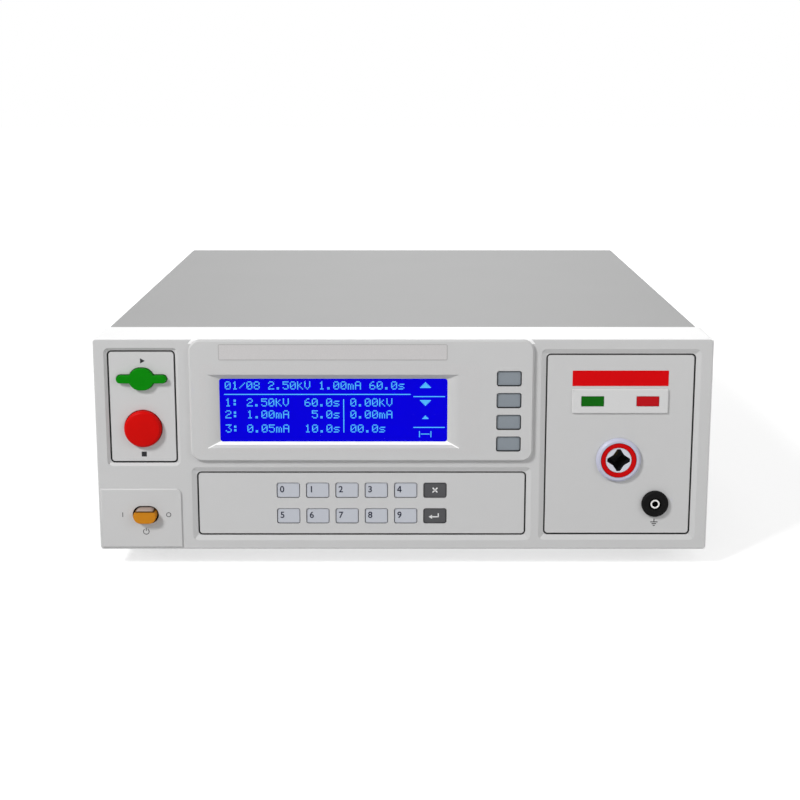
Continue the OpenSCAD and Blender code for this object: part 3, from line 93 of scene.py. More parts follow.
def linked(name, data):
    """Puts a new object with a mesh, a curve, a camera or a light in the scene."""
    thing = bpy.data.objects.new(name, data)
    bpy.context.scene.collection.objects.link(thing)
    return thing


lens = bpy.data.cameras.new("photo_camera")
lens.sensor_width = SENSOR_MM
lens.lens = FOCAL_PX / PICTURE_W * SENSOR_MM
lens.shift_y = CAMERA_SHIFT
camera = linked("photo_camera", lens)
camera.location = (CAMERA_X * MM, front_face - CAMERA_BEFORE_FRONT * MM, CAMERA_HEIGHT * MM)
camera.rotation_euler = (math.pi / 2 - CAMERA_PITCH, 0, 0)
bpy.context.scene.camera = camera
print("lens in mm:", round(lens.lens, 2))

# %% [markdown]
# ## Node helpers for the finishes
# Every finish here is made of nodes, so it needs no pictures. Noise is read in the object's own
# coordinates, which are metres in the shared frame, so a grain has one true size on every piece.
# Values that are the same all over go straight on the shader, where an export can read them.

# %% Helpers for grain, tint and bump
def new_finish(name, rough, metal=0.0, specular=0.5):
    """A node material and its tree and shader, with the plain values set."""
    finish = bpy.data.materials.new(name)
    finish.use_nodes = True
    tree = finish.node_tree
    shader = tree.nodes["Principled BSDF"]
    shader.inputs["Roughness"].default_value = rough
    shader.inputs["Metallic"].default_value = metal
    shader.inputs["Specular IOR Level"].default_value = specular
    return finish, tree, shader


def own_place(tree):
    """The point being shaded, in the object's own metres."""
    return tree.nodes.new("ShaderNodeTexCoord").outputs["Object"]


def stretched(tree, place, stretch):
    """The same place, with each axis scaled."""
    node = tree.nodes.new("ShaderNodeVectorMath")
    node.operation = "MULTIPLY"
    node.inputs[1].default_value = stretch
    tree.links.new(place, node.inputs[0])
    return node.outputs["Vector"]


def grain(tree, cell_mm, detail=2.0, stretch=None):
    """Noise whose cells are about cell_mm wide."""
    noise = tree.nodes.new("ShaderNodeTexNoise")
    noise.inputs["Scale"].default_value = 1 / (cell_mm * MM)
    noise.inputs["Detail"].default_value = detail
    place = own_place(tree)
    if stretch:
        place = stretched(tree, place, stretch)
    tree.links.new(place, noise.inputs["Vector"])
    return noise.outputs["Fac"]


def mixed(tree, amount, first, second):
    """A colour between two others. Each may be a plain colour or another node's colour."""
    node = tree.nodes.new("ShaderNodeMix")
    node.data_type = "RGBA"
    tree.links.new(amount, node.inputs["Factor"])
    for name, value in (("A", first), ("B", second)):
        socket = [s for s in node.inputs if s.name == name and s.type == "RGBA"][0]
        if isinstance(value, bpy.types.NodeSocket):
            tree.links.new(value, socket)
        else:
            socket.default_value = (*value, 1)
    return [s for s in node.outputs if s.type == "RGBA"][0]


def spread(tree, value, low, high, from_low=0.3, from_high=0.7):
    """Maps a value to a range; by default from 0.3 to 0.7, where most of a noise lies."""
    node = tree.nodes.new("ShaderNodeMapRange")
    node.inputs["From Min"].default_value = from_low
    node.inputs["From Max"].default_value = from_high
    node.inputs["To Min"].default_value = low
    node.inputs["To Max"].default_value = high
    tree.links.new(value, node.inputs["Value"])
    return node.outputs["Result"]


def calculated(tree, operation, *values):
    """One step of arithmetic on numbers and sockets."""
    node = tree.nodes.new("ShaderNodeMath")
    node.operation = operation
    for socket, value in zip(node.inputs, values):
        if isinstance(value, bpy.types.NodeSocket):
            tree.links.new(value, socket)
        else:
            socket.default_value = value
    return node.outputs[0]


def raised(tree, shader, height, depth_mm):
    """Turns a height into a fine relief of the given depth."""
    node = tree.nodes.new("ShaderNodeBump")
    node.inputs["Distance"].default_value = depth_mm * MM
    tree.links.new(height, node.inputs["Height"])
    tree.links.new(node.outputs["Normal"], shader.inputs["Normal"])


def shade(colour, factor):
    """A colour made lighter or darker by a factor."""
    return tuple(min(1.0, c * factor) for c in colour)


def tinted(tree, shader, amount, colour, first, second):
    """Colours a shader between two shades of one colour."""
    drift = mixed(tree, amount, shade(colour, first), shade(colour, second))
    tree.links.new(drift, shader.inputs["Base Color"])


def dulled(tree, shader, amount, rough, less, more):
    """Lets the roughness vary with a noise, by so much below and above its plain value."""
    tree.links.new(spread(tree, amount, rough - less, rough + more), shader.inputs["Roughness"])


print("node helpers ready")

# %% [markdown]
# ## Moulded plastic and painted metal
# Instrument plastic comes out of a spark-eroded mould with a fine matt grain, and its colour drifts
# a little over a large face. Powder paint is alike but coarser and a little softer. One function
# with a grain size makes both: a fine noise for the relief and the sheen, a wide one for the drift.

# %% Grained finishes
DRIFT_CELL = 60.0
FLECK_SHARE = (0.35, 0.65)


def grained(name, colour, rough, grain_mm, depth_mm, drift=0.03, specular=0.4):
    """A matt finish with a fine relief and a slow drift of its colour."""
    finish, tree, shader = new_finish(name, rough, specular=specular)
    fine = grain(tree, grain_mm, detail=3.0)
    wide = grain(tree, DRIFT_CELL, detail=1.0)
    slow = mixed(tree, wide, shade(colour, 1 - drift), shade(colour, 1 + drift))
    fleck = spread(tree, fine, 0.0, 1.0)
    speckled = mixed(tree, fleck, shade(colour, 1 - drift), shade(colour, 1 + drift))
    half = tree.nodes.new("ShaderNodeValToRGB")
    for stop, share in zip(half.color_ramp.elements, FLECK_SHARE):
        stop.color = (share, share, share, 1)
    tree.links.new(fine, half.inputs["Fac"])
    tree.links.new(mixed(tree, half.outputs["Color"], slow, speckled), shader.inputs["Base Color"])
    dulled(tree, shader, fine, rough, less=0.06, more=0.06)
    raised(tree, shader, fine, depth_mm)
    return finish


FRONT_GREY = (0.55, 0.55, 0.55)
PANEL_GREY = (0.555, 0.555, 0.555)
COVER_GREY = (0.388, 0.388, 0.388)
# Name, colour, roughness, width and depth of the grain, then drift and specular where they differ.
GRAINED = [
    ("cover_paint", COVER_GREY, 0.6, 0.9, 0.05, 0.03, 0.12),
    ("panel_plastic", PANEL_GREY, 0.5, 0.5, 0.025),
    ("plate_paint", (0.56, 0.56, 0.56), 0.5, 0.5, 0.02),
    ("soft_key_grey", (0.226, 0.255, 0.284), 0.5, 0.3, 0.02),
    ("key_white", (0.50, 0.52, 0.57), 0.5, 0.3, 0.02),
    ("key_dark", (0.085, 0.085, 0.09), 0.5, 0.3, 0.02, 0.03, 0.15),
    ("switch_black", (0.03, 0.03, 0.03), 0.5, 0.4, 0.02, 0.03, 0.2),
    ("lamp_frame_white", (0.63, 0.63, 0.63), 0.45, 0.4, 0.015, 0.02),
    ("socket_pale", (0.49, 0.50, 0.615), 0.35, 0.3, 0.01),
    ("socket_core", (0.61, 0.63, 0.70), 0.35, 0.3, 0.01),
    ("socket_black", (0.006, 0.006, 0.006), 0.55, 0.4, 0.02, 0.03, 0.06),
    ("foot_plastic", (0.03, 0.03, 0.031), 0.75, 0.8, 0.05, 0.03, 0.15),
    ("fan_black", (0.014, 0.014, 0.015), 0.5, 0.5, 0.02, 0.03, 0.15),
]
finishes = {row[0]: grained(*row) for row in GRAINED}
print("grained finishes:", len(finishes))

# %% [markdown]
# ## Painted areas on moulded pieces
# Some mouldings carry more than one colour. The front is white where it wraps over the top and round
# the sides, and its face is painted grey; the paint stops short of the display block's upper corners.
# A white line of painted highlight lies under the display block's screen. The narrow gaps round the
# plates and keys and the socket's plug hole carry painted shade: they are coloured dark, because
# hardly any light gets in. Each colour line follows the shape of a piece, so a point's colour comes
# from its distance to that shape, and no texture map is needed.

# %% Finishes with painted areas
BEZEL_CORNER = 3.0
PAINT_EDGE = 0.7
DISPLAY_CORNER = 8.0
BARE_BAND = 1.8
BARE_DROP = 3.8
# Widths of the painted highlight under the screen and along the mitres.
SILL_HIGHLIGHT = 1.8
MITRE_W = 8.1
MITRE_H = 3.7
MITRE_HIGHLIGHT = 0.45
LENS_RIM = 2.5
HOLE_R = 8.4
HOLE_LIP = 0.5
BORE_R = 2.15
BORE_LIP = 0.3
# Colour of the painted shade inside bores.
BORE_SHADE_COLOUR = (0.008, 0.008, 0.01)
GAP_SHADE_DEPTH = 0.3
KEY_GAP_SHADE_DEPTH = 1.2
KEY_RIM = 1.0
# Colour of the painted shade in the narrow gaps and key holes.
GAP_SHADE_COLOUR = (0.045, 0.045, 0.045)
# White of the bare moulding, also used for the painted highlight under the screen.
MOULD_WHITE_AND_HIGHLIGHT = (0.93, 0.93, 0.93)
PAINT_GRAIN = 0.5
PAINT_DRIFT = 0.03


def axes_of(tree):
    """The three coordinates of the point being shaded, in metres."""
    parts = tree.nodes.new("ShaderNodeSeparateXYZ")
    tree.links.new(own_place(tree), parts.inputs["Vector"])
    return parts.outputs["X"], parts.outputs["Y"], parts.outputs["Z"]


def past_round_rect(tree, x, z, low, high, radius_mm):
    """Distance of a point outside a rectangle with round corners, negative near the edge inside."""
    squares = []
    for value, a, b in ((x, low.x, high.x), (z, low.z, high.z)):
        off = calculated(tree, "ABSOLUTE", calculated(tree, "SUBTRACT", value, (a + b) / 2))
        over = calculated(tree, "SUBTRACT", off, (b - a) / 2 - radius_mm * MM)
        over = calculated(tree, "MAXIMUM", over, 0.0)
        squares.append(calculated(tree, "MULTIPLY", over, over))
    length = calculated(tree, "SQRT", calculated(tree, "ADD", squares[0], squares[1]))
    return calculated(tree, "SUBTRACT", length, radius_mm * MM)


def painted_over(finish, mask, colour):
    """Puts a second, slightly grained colour on a finish wherever the mask is one."""
    tree = finish.node_tree
    socket = tree.nodes["Principled BSDF"].inputs["Base Color"]
    under = socket.links[0].from_socket
    patch = grain(tree, PAINT_GRAIN)
    over = mixed(tree, patch, shade(colour, 1 - PAINT_DRIFT), shade(colour, 1 + PAINT_DRIFT))
    tree.links.new(mixed(tree, mask, under, over), socket)


def dark_gaps(finish, node, depth_mm, round_keys=()):
    """Paints shade: darkens what lies that far behind a node's front face, everywhere or only round
    some keys.
    """
    tree = finish.node_tree
    x, y, z = axes_of(tree)
    mask = calculated(tree, "GREATER_THAN", y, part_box(node)[0].y + depth_mm * MM)
    if round_keys:
        boxes = [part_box(key) for key in round_keys]
        rim = Vector((KEY_RIM, 0, KEY_RIM)) * MM
        low = Vector(min(b[0][i] for b in boxes) for i in range(3)) - rim
        high = Vector(max(b[1][i] for b in boxes) for i in range(3)) + rim
        outside = past_round_rect(tree, x, z, low, high, KEY_RIM)
        inside = calculated(tree, "LESS_THAN", outside, 0.0)
        mask = calculated(tree, "MULTIPLY", mask, inside)
    painted_over(finish, mask, GAP_SHADE_COLOUR)


def bezel_finish():
    """Grey face, with bare white along the outside and at the display block's upper corners."""
    finish = grained("bezel_plastic", FRONT_GREY, 0.5, 0.5, 0.03)
    # Painted shade in the narrow gaps round the plates.
    dark_gaps(finish, "keypad_plate", GAP_SHADE_DEPTH)
    tree = finish.node_tree
    x, _, z = axes_of(tree)
    low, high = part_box("front_bezel")
    outside = past_round_rect(tree, x, z, low, high, BEZEL_CORNER)
    wrapped = calculated(tree, "GREATER_THAN", outside, -PAINT_EDGE * MM)
    near = past_round_rect(tree, x, z, *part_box("display_bezel"), DISPLAY_CORNER)
    beside = calculated(tree, "LESS_THAN", near, BARE_BAND * MM)
    upper = calculated(tree, "GREATER_THAN", z, high.z - BARE_DROP * MM)
    bare = calculated(tree, "MAXIMUM", wrapped, calculated(tree, "MULTIPLY", beside, upper))
    painted_over(finish, bare, MOULD_WHITE_AND_HIGHLIGHT)
    return finish


def display_finish():
    """Grey display block with a painted highlight, a white line, under its screen and along its end
    mitres.
    """
    finish = grained("display_plastic", PANEL_GREY, 0.5, 0.5, 0.025)
    soft_keys = [name for name in nodes if name.startswith("soft_key")]
    # Painted shade in the gaps round the soft keys.
    dark_gaps(finish, "display_bezel", GAP_SHADE_DEPTH, soft_keys)
    tree = finish.node_tree
    x, _, z = axes_of(tree)
    low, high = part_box("lcd_lens")
    window_bottom = low.z + LENS_RIM * MM
    half_window = (high.x - low.x) / 2 - LENS_RIM * MM
    off = calculated(tree, "ABSOLUTE", calculated(tree, "SUBTRACT", x, (low.x + high.x) / 2))
    past = calculated(tree, "SUBTRACT", off, half_window)
    down = calculated(tree, "SUBTRACT", window_bottom, z)
    mitre = calculated(tree, "MULTIPLY", past, MITRE_H / MITRE_W)
    under = calculated(tree, "LESS_THAN", calculated(tree, "ABSOLUTE", down), SILL_HIGHLIGHT * MM)
    between = calculated(tree, "LESS_THAN", mitre, calculated(tree, "ADD", down, MITRE_HIGHLIGHT * MM))
    line = calculated(tree, "MULTIPLY", under, between)
    beside = calculated(tree, "ABSOLUTE", calculated(tree, "SUBTRACT", mitre, down))
    corner = calculated(tree, "LESS_THAN", beside, MITRE_HIGHLIGHT * MM)
    ends = calculated(tree, "COMPARE", past, MITRE_W / 2 * MM, MITRE_W / 2 * MM)
    corner = calculated(tree, "MULTIPLY", corner, ends)
    # Painted highlight: white under the screen and along the mitres.
    painted_over(finish, calculated(tree, "MAXIMUM", line, corner), MOULD_WHITE_AND_HIGHLIGHT)
    return finish


def bored(finish, node, radius_mm, lip_mm):
    """Paints shade inside a turned piece's bore, where hardly any light gets in."""
    tree = finish.node_tree
    x, y, z = axes_of(tree)
    low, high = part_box(node)
    middle = (low + high) / 2
    reach = Vector((radius_mm * MM, 0, radius_mm * MM))
    away = past_round_rect(tree, x, z, middle - reach, middle + reach, radius_mm)
    inside = calculated(tree, "LESS_THAN", away, 0.0)
    deep = calculated(tree, "GREATER_THAN", y, low.y + lip_mm * MM)
    painted_over(finish, calculated(tree, "MULTIPLY", inside, deep), BORE_SHADE_COLOUR)


# Painted shade on the keypad plate's hole walls, deep behind its face.
dark_gaps(finishes["plate_paint"], "keypad_plate", KEY_GAP_SHADE_DEPTH)
finishes["bezel_plastic"] = bezel_finish()
# Painted shade inside the socket core's plug hole.
bored(finishes["socket_core"], "hv_socket_core", HOLE_R, HOLE_LIP)
finishes["display_plastic"] = display_finish()
print("painted finishes ready")

# %% [markdown]
# ## Coloured buttons and lamps
# The start, stop and power buttons and the ring of the output socket are coloured all through and a
# little glossy. Thin scuffs dull the gloss here and there. The lamps are tinted, and a faint painted
# glow of their own colour is given to them, though the tester is idle. The power button has a painted
# highlight along its top with a painted shade line under it, which a mask on the height gives.

# %% Glossy coloured plastics
CLOUD_CELL = 9.0
SCUFF_CELL = 1.2
SCUFF_STRETCH = (1.0, 1.0, 0.35)
SCUFF_DEPTH = 0.008
# Heights of the painted highlight band and the painted shade line under it on the power button's top.
POWER_HIGHLIGHT_BAND = 1.0
POWER_SHADE_BAND = 1.0
POWER_HIGHLIGHT_COLOUR = (0.40, 0.31, 0.265)
POWER_SHADE_COLOUR = (0.10, 0.045, 0.01)


def coloured(name, colour, rough=0.38, glow=0.0):
    """Through-coloured plastic with a soft gloss and faint scuffs, and a faint painted glow if one is
    given.
    """
    finish, tree, shader = new_finish(name, rough, specular=0.06)
    cloud = grain(tree, CLOUD_CELL, detail=4.0)
    scuff = grain(tree, SCUFF_CELL, detail=5.0, stretch=SCUFF_STRETCH)
    tinted(tree, shader, cloud, colour, first=0.93, second=1.07)
    dulled(tree, shader, scuff, rough, less=0.08, more=0.16)
    raised(tree, shader, scuff, SCUFF_DEPTH)
    # Painted glow: an emission in the colour, on lamps that are not lit.
    if glow:
        shader.inputs["Emission Color"].default_value = (*colour, 1)
        shader.inputs["Emission Strength"].default_value = glow
    return finish


def power_banded(finish):
    """A painted highlight along the top of the power button, with a painted shade line under it."""
    tree = finish.node_tree
    height = axes_of(tree)[2]
    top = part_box("power_button")[1].z
    for depth, colour in ((POWER_HIGHLIGHT_BAND + POWER_SHADE_BAND, POWER_SHADE_COLOUR), (POWER_HIGHLIGHT_BAND, POWER_HIGHLIGHT_COLOUR)):
        painted_over(finish, calculated(tree, "GREATER_THAN", height, top - depth * MM), colour)


# Name and colour, then roughness and painted glow where they differ.
COLOURED = [
    ("start_green", (0.002, 0.215, 0.002)),
    ("stop_red", (0.59, 0.003, 0.002)),
    ("power_orange", (0.57, 0.216, 0.013)),
    ("socket_red", (0.57, 0.002, 0.003)),
    ("lamp_green", (0.004, 0.11, 0.004), 0.3, 0.12),
    ("lamp_red", (0.42, 0.006, 0.010), 0.3, 0.12),
]
finishes.update({row[0]: coloured(*row) for row in COLOURED})
# Painted highlight on the power button's top, with a painted shade line beneath.
power_banded(finishes["power_orange"])
print("coloured finishes:", len(COLOURED))

# %% [markdown]
# ## Metals
# Plated sheet and wire show a soft cloudy sheen. Turned contacts and the extruded heat sink show fine
# streaks along the way they were worked. Both are noise on the colour and the roughness: even noise
# for the sheet and the wire, stretched noise for the turned and extruded pieces. The contact deep in
# the output socket is darkened brass, as painted shade for its deep hole, and the return contact has
# painted shade inside its bore.

# %% Metal finishes
METAL_RELIEF = 0.006


def metal(name, colour, rough, stretch=(1.0, 1.0, 1.0), cell_mm=1.5):
    """Metal whose polish varies in clouds or, where stretched, in streaks."""
    finish, tree, shader = new_finish(name, rough, metal=1.0)
    cloud = grain(tree, cell_mm, detail=4.0, stretch=stretch)
    tinted(tree, shader, cloud, colour, first=0.9, second=1.08)
    dulled(tree, shader, cloud, rough, less=0.08, more=0.12)
    raised(tree, shader, cloud, METAL_RELIEF)
    return finish


# Name, colour and roughness, then stretch and cell width where they differ.
METALS = [
    ("chassis_steel", (0.56, 0.57, 0.59), 0.4, (1.0, 1.0, 1.0), 6.0),
    ("screw_steel", (0.55, 0.55, 0.56), 0.3),
    ("contact_brass", (0.70, 0.50, 0.20), 0.25, (1.0, 6.0, 1.0)),
    ("contact_nickel", (0.66, 0.65, 0.63), 0.22, (1.0, 6.0, 1.0)),
    # Darkened brass, as painted shade for the contact deep in the output socket.
    ("dull_brass", (0.09, 0.065, 0.03), 0.5),
    ("guard_wire", (0.66, 0.66, 0.67), 0.22),
    ("port_shell", (0.58, 0.58, 0.59), 0.32),
    ("sink_aluminium", (0.10, 0.10, 0.11), 0.45, (4.0, 0.3, 4.0)),
]
finishes.update({row[0]: metal(*row) for row in METALS})
# Painted shade inside the return contact's bore.
bored(finishes["contact_nickel"], "return_contact", BORE_R, BORE_LIP)
print("metal finishes:", len(METALS))

# %% [markdown]
# ## What shows through the vents
# Boards, windings and laminations sit behind the slots. A wave pattern gives the turns of the coil
# and the tape of the ring transformer, thin bands give the stacked sheets of the core, and a blocky
# pattern gives the tracks on the boards. Along an axis, Blender's wave repeats each time the scaled
# place has gone on by a tenth of pi, so the scale that sets a true pitch is that step over the pitch.

# %% Inside finishes
WAVE_STEP = math.pi / 10
WAVE_BEND = 0.4
TRACK_PITCH = 9.0
TRACK_SHARE = 0.03
TRACK_DEPTH = 0.03


def banded(name, colour, pitch_mm, axis, rough=0.5, depth_mm=0.2):
    """Bands at a fixed pitch along one axis, for wire turns, tape and stacked sheets."""
    finish, tree, shader = new_finish(name, rough)
    wave = tree.nodes.new("ShaderNodeTexWave")
    wave.bands_direction = axis
    wave.inputs["Scale"].default_value = WAVE_STEP / (pitch_mm * MM)
    wave.inputs["Distortion"].default_value = WAVE_BEND
    tree.links.new(own_place(tree), wave.inputs["Vector"])
    bands = wave.outputs["Fac"]
    tinted(tree, shader, bands, colour, first=0.7, second=1.0)
    raised(tree, shader, bands, depth_mm)
    return finish


def boarded(name, mask, track):
    """Solder mask over a blocky pattern of tracks."""
    finish, tree, shader = new_finish(name, 0.35)
    brick = tree.nodes.new("ShaderNodeTexBrick")
    brick.inputs["Scale"].default_value = 1 / (TRACK_PITCH * MM)
    brick.inputs["Mortar Size"].default_value = TRACK_SHARE
    brick.inputs["Color1"].default_value = (*mask, 1)
    brick.inputs["Color2"].default_value = (*shade(mask, 0.8), 1)
    brick.inputs["Mortar"].default_value = (*track, 1)
    tree.links.new(own_place(tree), brick.inputs["Vector"])
    tree.links.new(brick.outputs["Color"], shader.inputs["Base Color"])
    raised(tree, shader, brick.outputs["Fac"], TRACK_DEPTH)
    return finish


finishes["coil_copper"] = banded("coil_copper", (0.50, 0.24, 0.09), 0.8, "Z", 0.4)
finishes["toroid_wrap"] = banded("toroid_wrap", (0.50, 0.40, 0.12), 8.0, "DIAGONAL", 0.4)
finishes["core_steel"] = banded("core_steel", (0.12, 0.12, 0.13), 0.5, "Y", 0.5, 0.05)
finishes["circuit_board"] = boarded("circuit_board", (0.015, 0.14, 0.05), (0.05, 0.28, 0.09))
print("inside finishes ready")

# %% [markdown]
# ## The screen
# A backlit graphic screen is a blue field with pale cyan dots. The field gives off its own light, so
# it is an emitting surface with a fine grid where the rows and columns of dots meet. The window in
# front is clear and non-reflecting, which a low index of refraction gives.

# %% Screen finishes
DOT_GRID = 0.62
DOT_SHARE = 0.85
GRID_DIM = 0.86
CLOUD_DIM = 0.94
BACKLIGHT_CELL = 40.0
WINDOW_INDEX = 1.08
WINDOW_CELL = 25.0


def lit_field(name, colour, dot_mm):
    """A glowing field, a little darker along the grid between its dots."""
    finish, tree, shader = new_finish(name, 0.35, specular=0.0)
    x, _, z = axes_of(tree)
    lines = []
    for place in (x, z):
        steps = calculated(tree, "MULTIPLY", place, 1 / (dot_mm * MM))
        lines.append(calculated(tree, "GREATER_THAN", calculated(tree, "FRACT", steps), DOT_SHARE))
    grid = calculated(tree, "MAXIMUM", *lines)
    glow = mixed(tree, grid, colour, shade(colour, GRID_DIM))
    clouded = mixed(tree, grain(tree, BACKLIGHT_CELL), glow, shade(colour, CLOUD_DIM))
    tree.links.new(clouded, shader.inputs["Emission Color"])
    tinted(tree, shader, grid, colour, first=0.06, second=0.03)
    shader.inputs["Emission Strength"].default_value = 1.0
    return finish


def clear_window(name):
    """Clear sheet with hardly any reflection and a slight, uneven tint."""
    finish, tree, shader = new_finish(name, 0.0, specular=0.5)
    shader.inputs["Transmission Weight"].default_value = 1.0
    shader.inputs["IOR"].default_value = WINDOW_INDEX
    shader.inputs["Specular Tint"].default_value = (0, 0, 0, 1)
    tint = mixed(tree, grain(tree, WINDOW_CELL), (0.97, 0.98, 1.0), (1.0, 1.0, 1.0))
    tree.links.new(tint, shader.inputs["Base Color"])
    return finish


finishes["screen_blue"] = lit_field("screen_blue", (0.003, 0.001, 0.70), DOT_GRID)
finishes["screen_window"] = clear_window("screen_window")
finishes["screen_dots"] = lit_field("screen_dots", (0.10, 0.55, 1.0), DOT_GRID)
print("screen finishes ready")

# %% [markdown]
# ## Put the finishes on the CAD pieces, and round their edges
# No moulded or folded edge is perfectly sharp, and a tiny round catches the light. The CAD pieces
# stay as they are and get modifiers: Weld joins the split corners, Decimate turns flat groups of
# triangles back into one face, Bevel rounds the edges, a second Weld joins rounds that meet, and
# Weighted Normal keeps the flats flat.
# The bezel has its own bevels in CAD and keeps its edges. The screen, the guard's wire, the boards and
# switches and the ring transformer keep theirs too, because no sharp edge of them shows.

# %% Finish and round each CAD piece
EDGE_ROUND = {
    "display_bezel": 0.35, "power_plate": 0.15, "start_stop_plate": 0.25,
    "keypad_plate": 0.25, "output_plate": 0.25, "start_button": 0.8, "stop_button": 0.4,
    "power_button": 0.7, "lamp_frame": 0.25, "green_lamp": 0.3, "red_lamp": 0.3,
    "hv_socket_flange": 0.3, "hv_socket_ring": 0.3, "hv_socket_core": 0.3, "return_socket": 0.3,
    "return_contact": 0.2, "top_cover": 0.3, "rear_panel": 0.2, "feet": 0.7, "tilt_leg_left": 0.3,
    "tilt_leg_right": 0.3, "fan_frame": 0.5, "fan_rotor": 0.25, "mains_inlet": 0.4, "serial_port": 0.15,
    "inlet_pins": 0.3, "chassis": 0.2, "heat_sink": 0.2, "hv_core": 0.3, "hv_coil": 0.4,
}
KEY_ROUND = 0.15
EDGE_ROUND.update({name: KEY_ROUND for name in nodes if "_key" in name})
JOIN_WITHIN = 0.001
JOIN_ROUNDS_WITHIN = 0.005
ROUND_STEPS = 3
FLAT_WITHIN = math.radians(0.2)
ROUND_OVER = math.radians(28)


def round_edges(piece, width_mm):
    """Rounds a CAD piece's edges with modifiers, and leaves its own mesh alone."""
    weld = piece.modifiers.new("join_corners", "WELD")
    weld.merge_threshold = JOIN_WITHIN * MM
    flats = piece.modifiers.new("whole_flats", "DECIMATE")
    flats.decimate_type = "DISSOLVE"
    flats.angle_limit = FLAT_WITHIN
    soft = piece.modifiers.new("soft_edges", "BEVEL")
    soft.width = width_mm * MM
    soft.segments = ROUND_STEPS
    soft.limit_method = "ANGLE"
    soft.angle_limit = ROUND_OVER
    met = piece.modifiers.new("join_rounds", "WELD")
    met.merge_threshold = JOIN_ROUNDS_WITHIN * MM
    even = piece.modifiers.new("flat_shading", "WEIGHTED_NORMAL")
    even.keep_sharp = False


slot_of = {row["node"]: row["material_slot"] for row in frame["record"]["subparts"]}
for name, piece in nodes.items():
    piece.data.materials.clear()
    piece.data.materials.append(finishes[slot_of[name]])
    if name in EDGE_ROUND:
        if "custom_normal" in piece.data.attributes:
            piece.data.attributes.remove(piece.data.attributes["custom_normal"])
        piece.data.polygons.foreach_set("use_smooth", [True] * len(piece.data.polygons))
        round_edges(piece, EDGE_ROUND[name])
nodes["display_bezel"].data.materials[0] = finishes["display_plastic"]
# Painted shade: the contact deep in the socket gets the darkened brass.
nodes["hv_contact"].data.materials[0] = finishes["dull_brass"]
print("pieces finished:", len(nodes), "with rounded edges:", len(EDGE_ROUND))

# %% [markdown]
# ## A helper for thin printed shapes
# Marks, labels and strips are thin solids that lie on a face. A flat curve with several closed
# outlines fills itself and leaves holes where outlines nest, and its extrude gives the thickness.
# The filled curve is turned to stand on the front, becomes a mesh and rides on what carries it.

# %% Thin shape helpers
def ring_points(radius, across=(0.0, 0.0), steps=40):
    """Points of a circle, or of a regular polygon with few steps."""
    angles = [2 * math.pi * i / steps for i in range(steps)]
    return [(across[0] + radius * math.cos(a), across[1] + radius * math.sin(a)) for a in angles]


def round_rect(width, height, radius, across=(0.0, 0.0), steps=6):
    """Points of a rectangle with round corners."""
    points = []
    for corner, (sx, sz) in enumerate([(1, 1), (-1, 1), (-1, -1), (1, -1)]):
        for i in range(steps + 1):
            angle = (corner + i / steps) * math.pi / 2
            points.append((across[0] + sx * (width / 2 - radius) + radius * math.cos(angle),
                           across[1] + sz * (height / 2 - radius) + radius * math.sin(angle)))
    return points


def bar(x0, z0, x1, z1, thick):
    """Points of a straight stroke between two points."""
    along = Vector((x1 - x0, z1 - z0)).normalized()
    side = Vector((-along.y, along.x)) * thick / 2
    return [(x0 + side.x, z0 + side.y), (x0 - side.x, z0 - side.y),
            (x1 - side.x, z1 - side.y), (x1 + side.x, z1 + side.y)]


def open_ring(outer, inner, opening, steps=28):
    """Points of a ring that is open at the top, by so many degrees to each side."""
    angles = [math.radians(opening + (360 - 2 * opening) * i / steps) for i in range(steps + 1)]
    return ([(math.sin(a) * outer, math.cos(a) * outer) for a in angles]
            + [(math.sin(a) * inner, math.cos(a) * inner) for a in reversed(angles)])


FRONT_TURN = Matrix.Rotation(math.pi / 2, 4, "X")
REAR_TURN = Matrix.Rotation(math.pi, 4, "Z") @ FRONT_TURN


def as_piece(name, curve, centre, turn):
    """Turns a curve or a text into a mesh piece that stands at a point."""
    source = linked(name, curve)
    bpy.context.view_layer.update()
    filled = source.evaluated_get(bpy.context.evaluated_depsgraph_get())
    shape = bpy.data.meshes.new_from_object(filled)
    shape.transform(Matrix.Translation(centre) @ turn @ Matrix.Scale(MM, 4))
    bpy.data.objects.remove(source)
    shape.name = name
    return linked(name, shape)


def built_piece(name, mesh):
    """Turns a mesh that was built point by point into a piece."""
    shape = bpy.data.meshes.new(name)
    mesh.to_mesh(shape)
    mesh.free()
    return linked(name, shape)


def thin_shape(name, outlines, centre, thick_mm, turn=FRONT_TURN):
    """A filled flat shape of closed outlines in millimetres, its front thick_mm before the centre."""
    curve = bpy.data.curves.new(name, "CURVE")
    curve.dimensions = "2D"
    curve.fill_mode = "BOTH"
    curve.extrude = thick_mm
    for points in outlines:
        line = curve.splines.new("POLY")
        line.points.add(len(points) - 1)
        for spot, (x, z) in zip(line.points, points):
            spot.co = (x, z, 0, 1)
        line.use_cyclic_u = True
    return as_piece(name, curve, centre, turn)


def dress(piece, finish, body="case"):
    """Gives a piece its finish and slot, and lets it ride on a body."""
    piece.data.materials.clear()
    piece.data.materials.append(finish)
    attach(piece, body)
    return piece


print("thin shape helpers ready")

# %% [markdown]
# ## Where the front's faces are
# Marks lie on the faces of the plates, the display block and the keys. Their places come from the
# CAD boxes, so a mark stays on its face when a size changes.

# %% Read the faces from the frame
def face_point(node, x=0.0, z=0.0):
    """A point on a node's front face: x and z in millimetres from the middle of its box."""
    low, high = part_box(node)
    middle = (low + high) / 2
    return Vector((middle.x + x * MM, low.y, middle.z + z * MM))


def at_height(point, node):
    """The same point, on the front face of another node."""
    return Vector((point.x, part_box(node)[0].y, point.z))


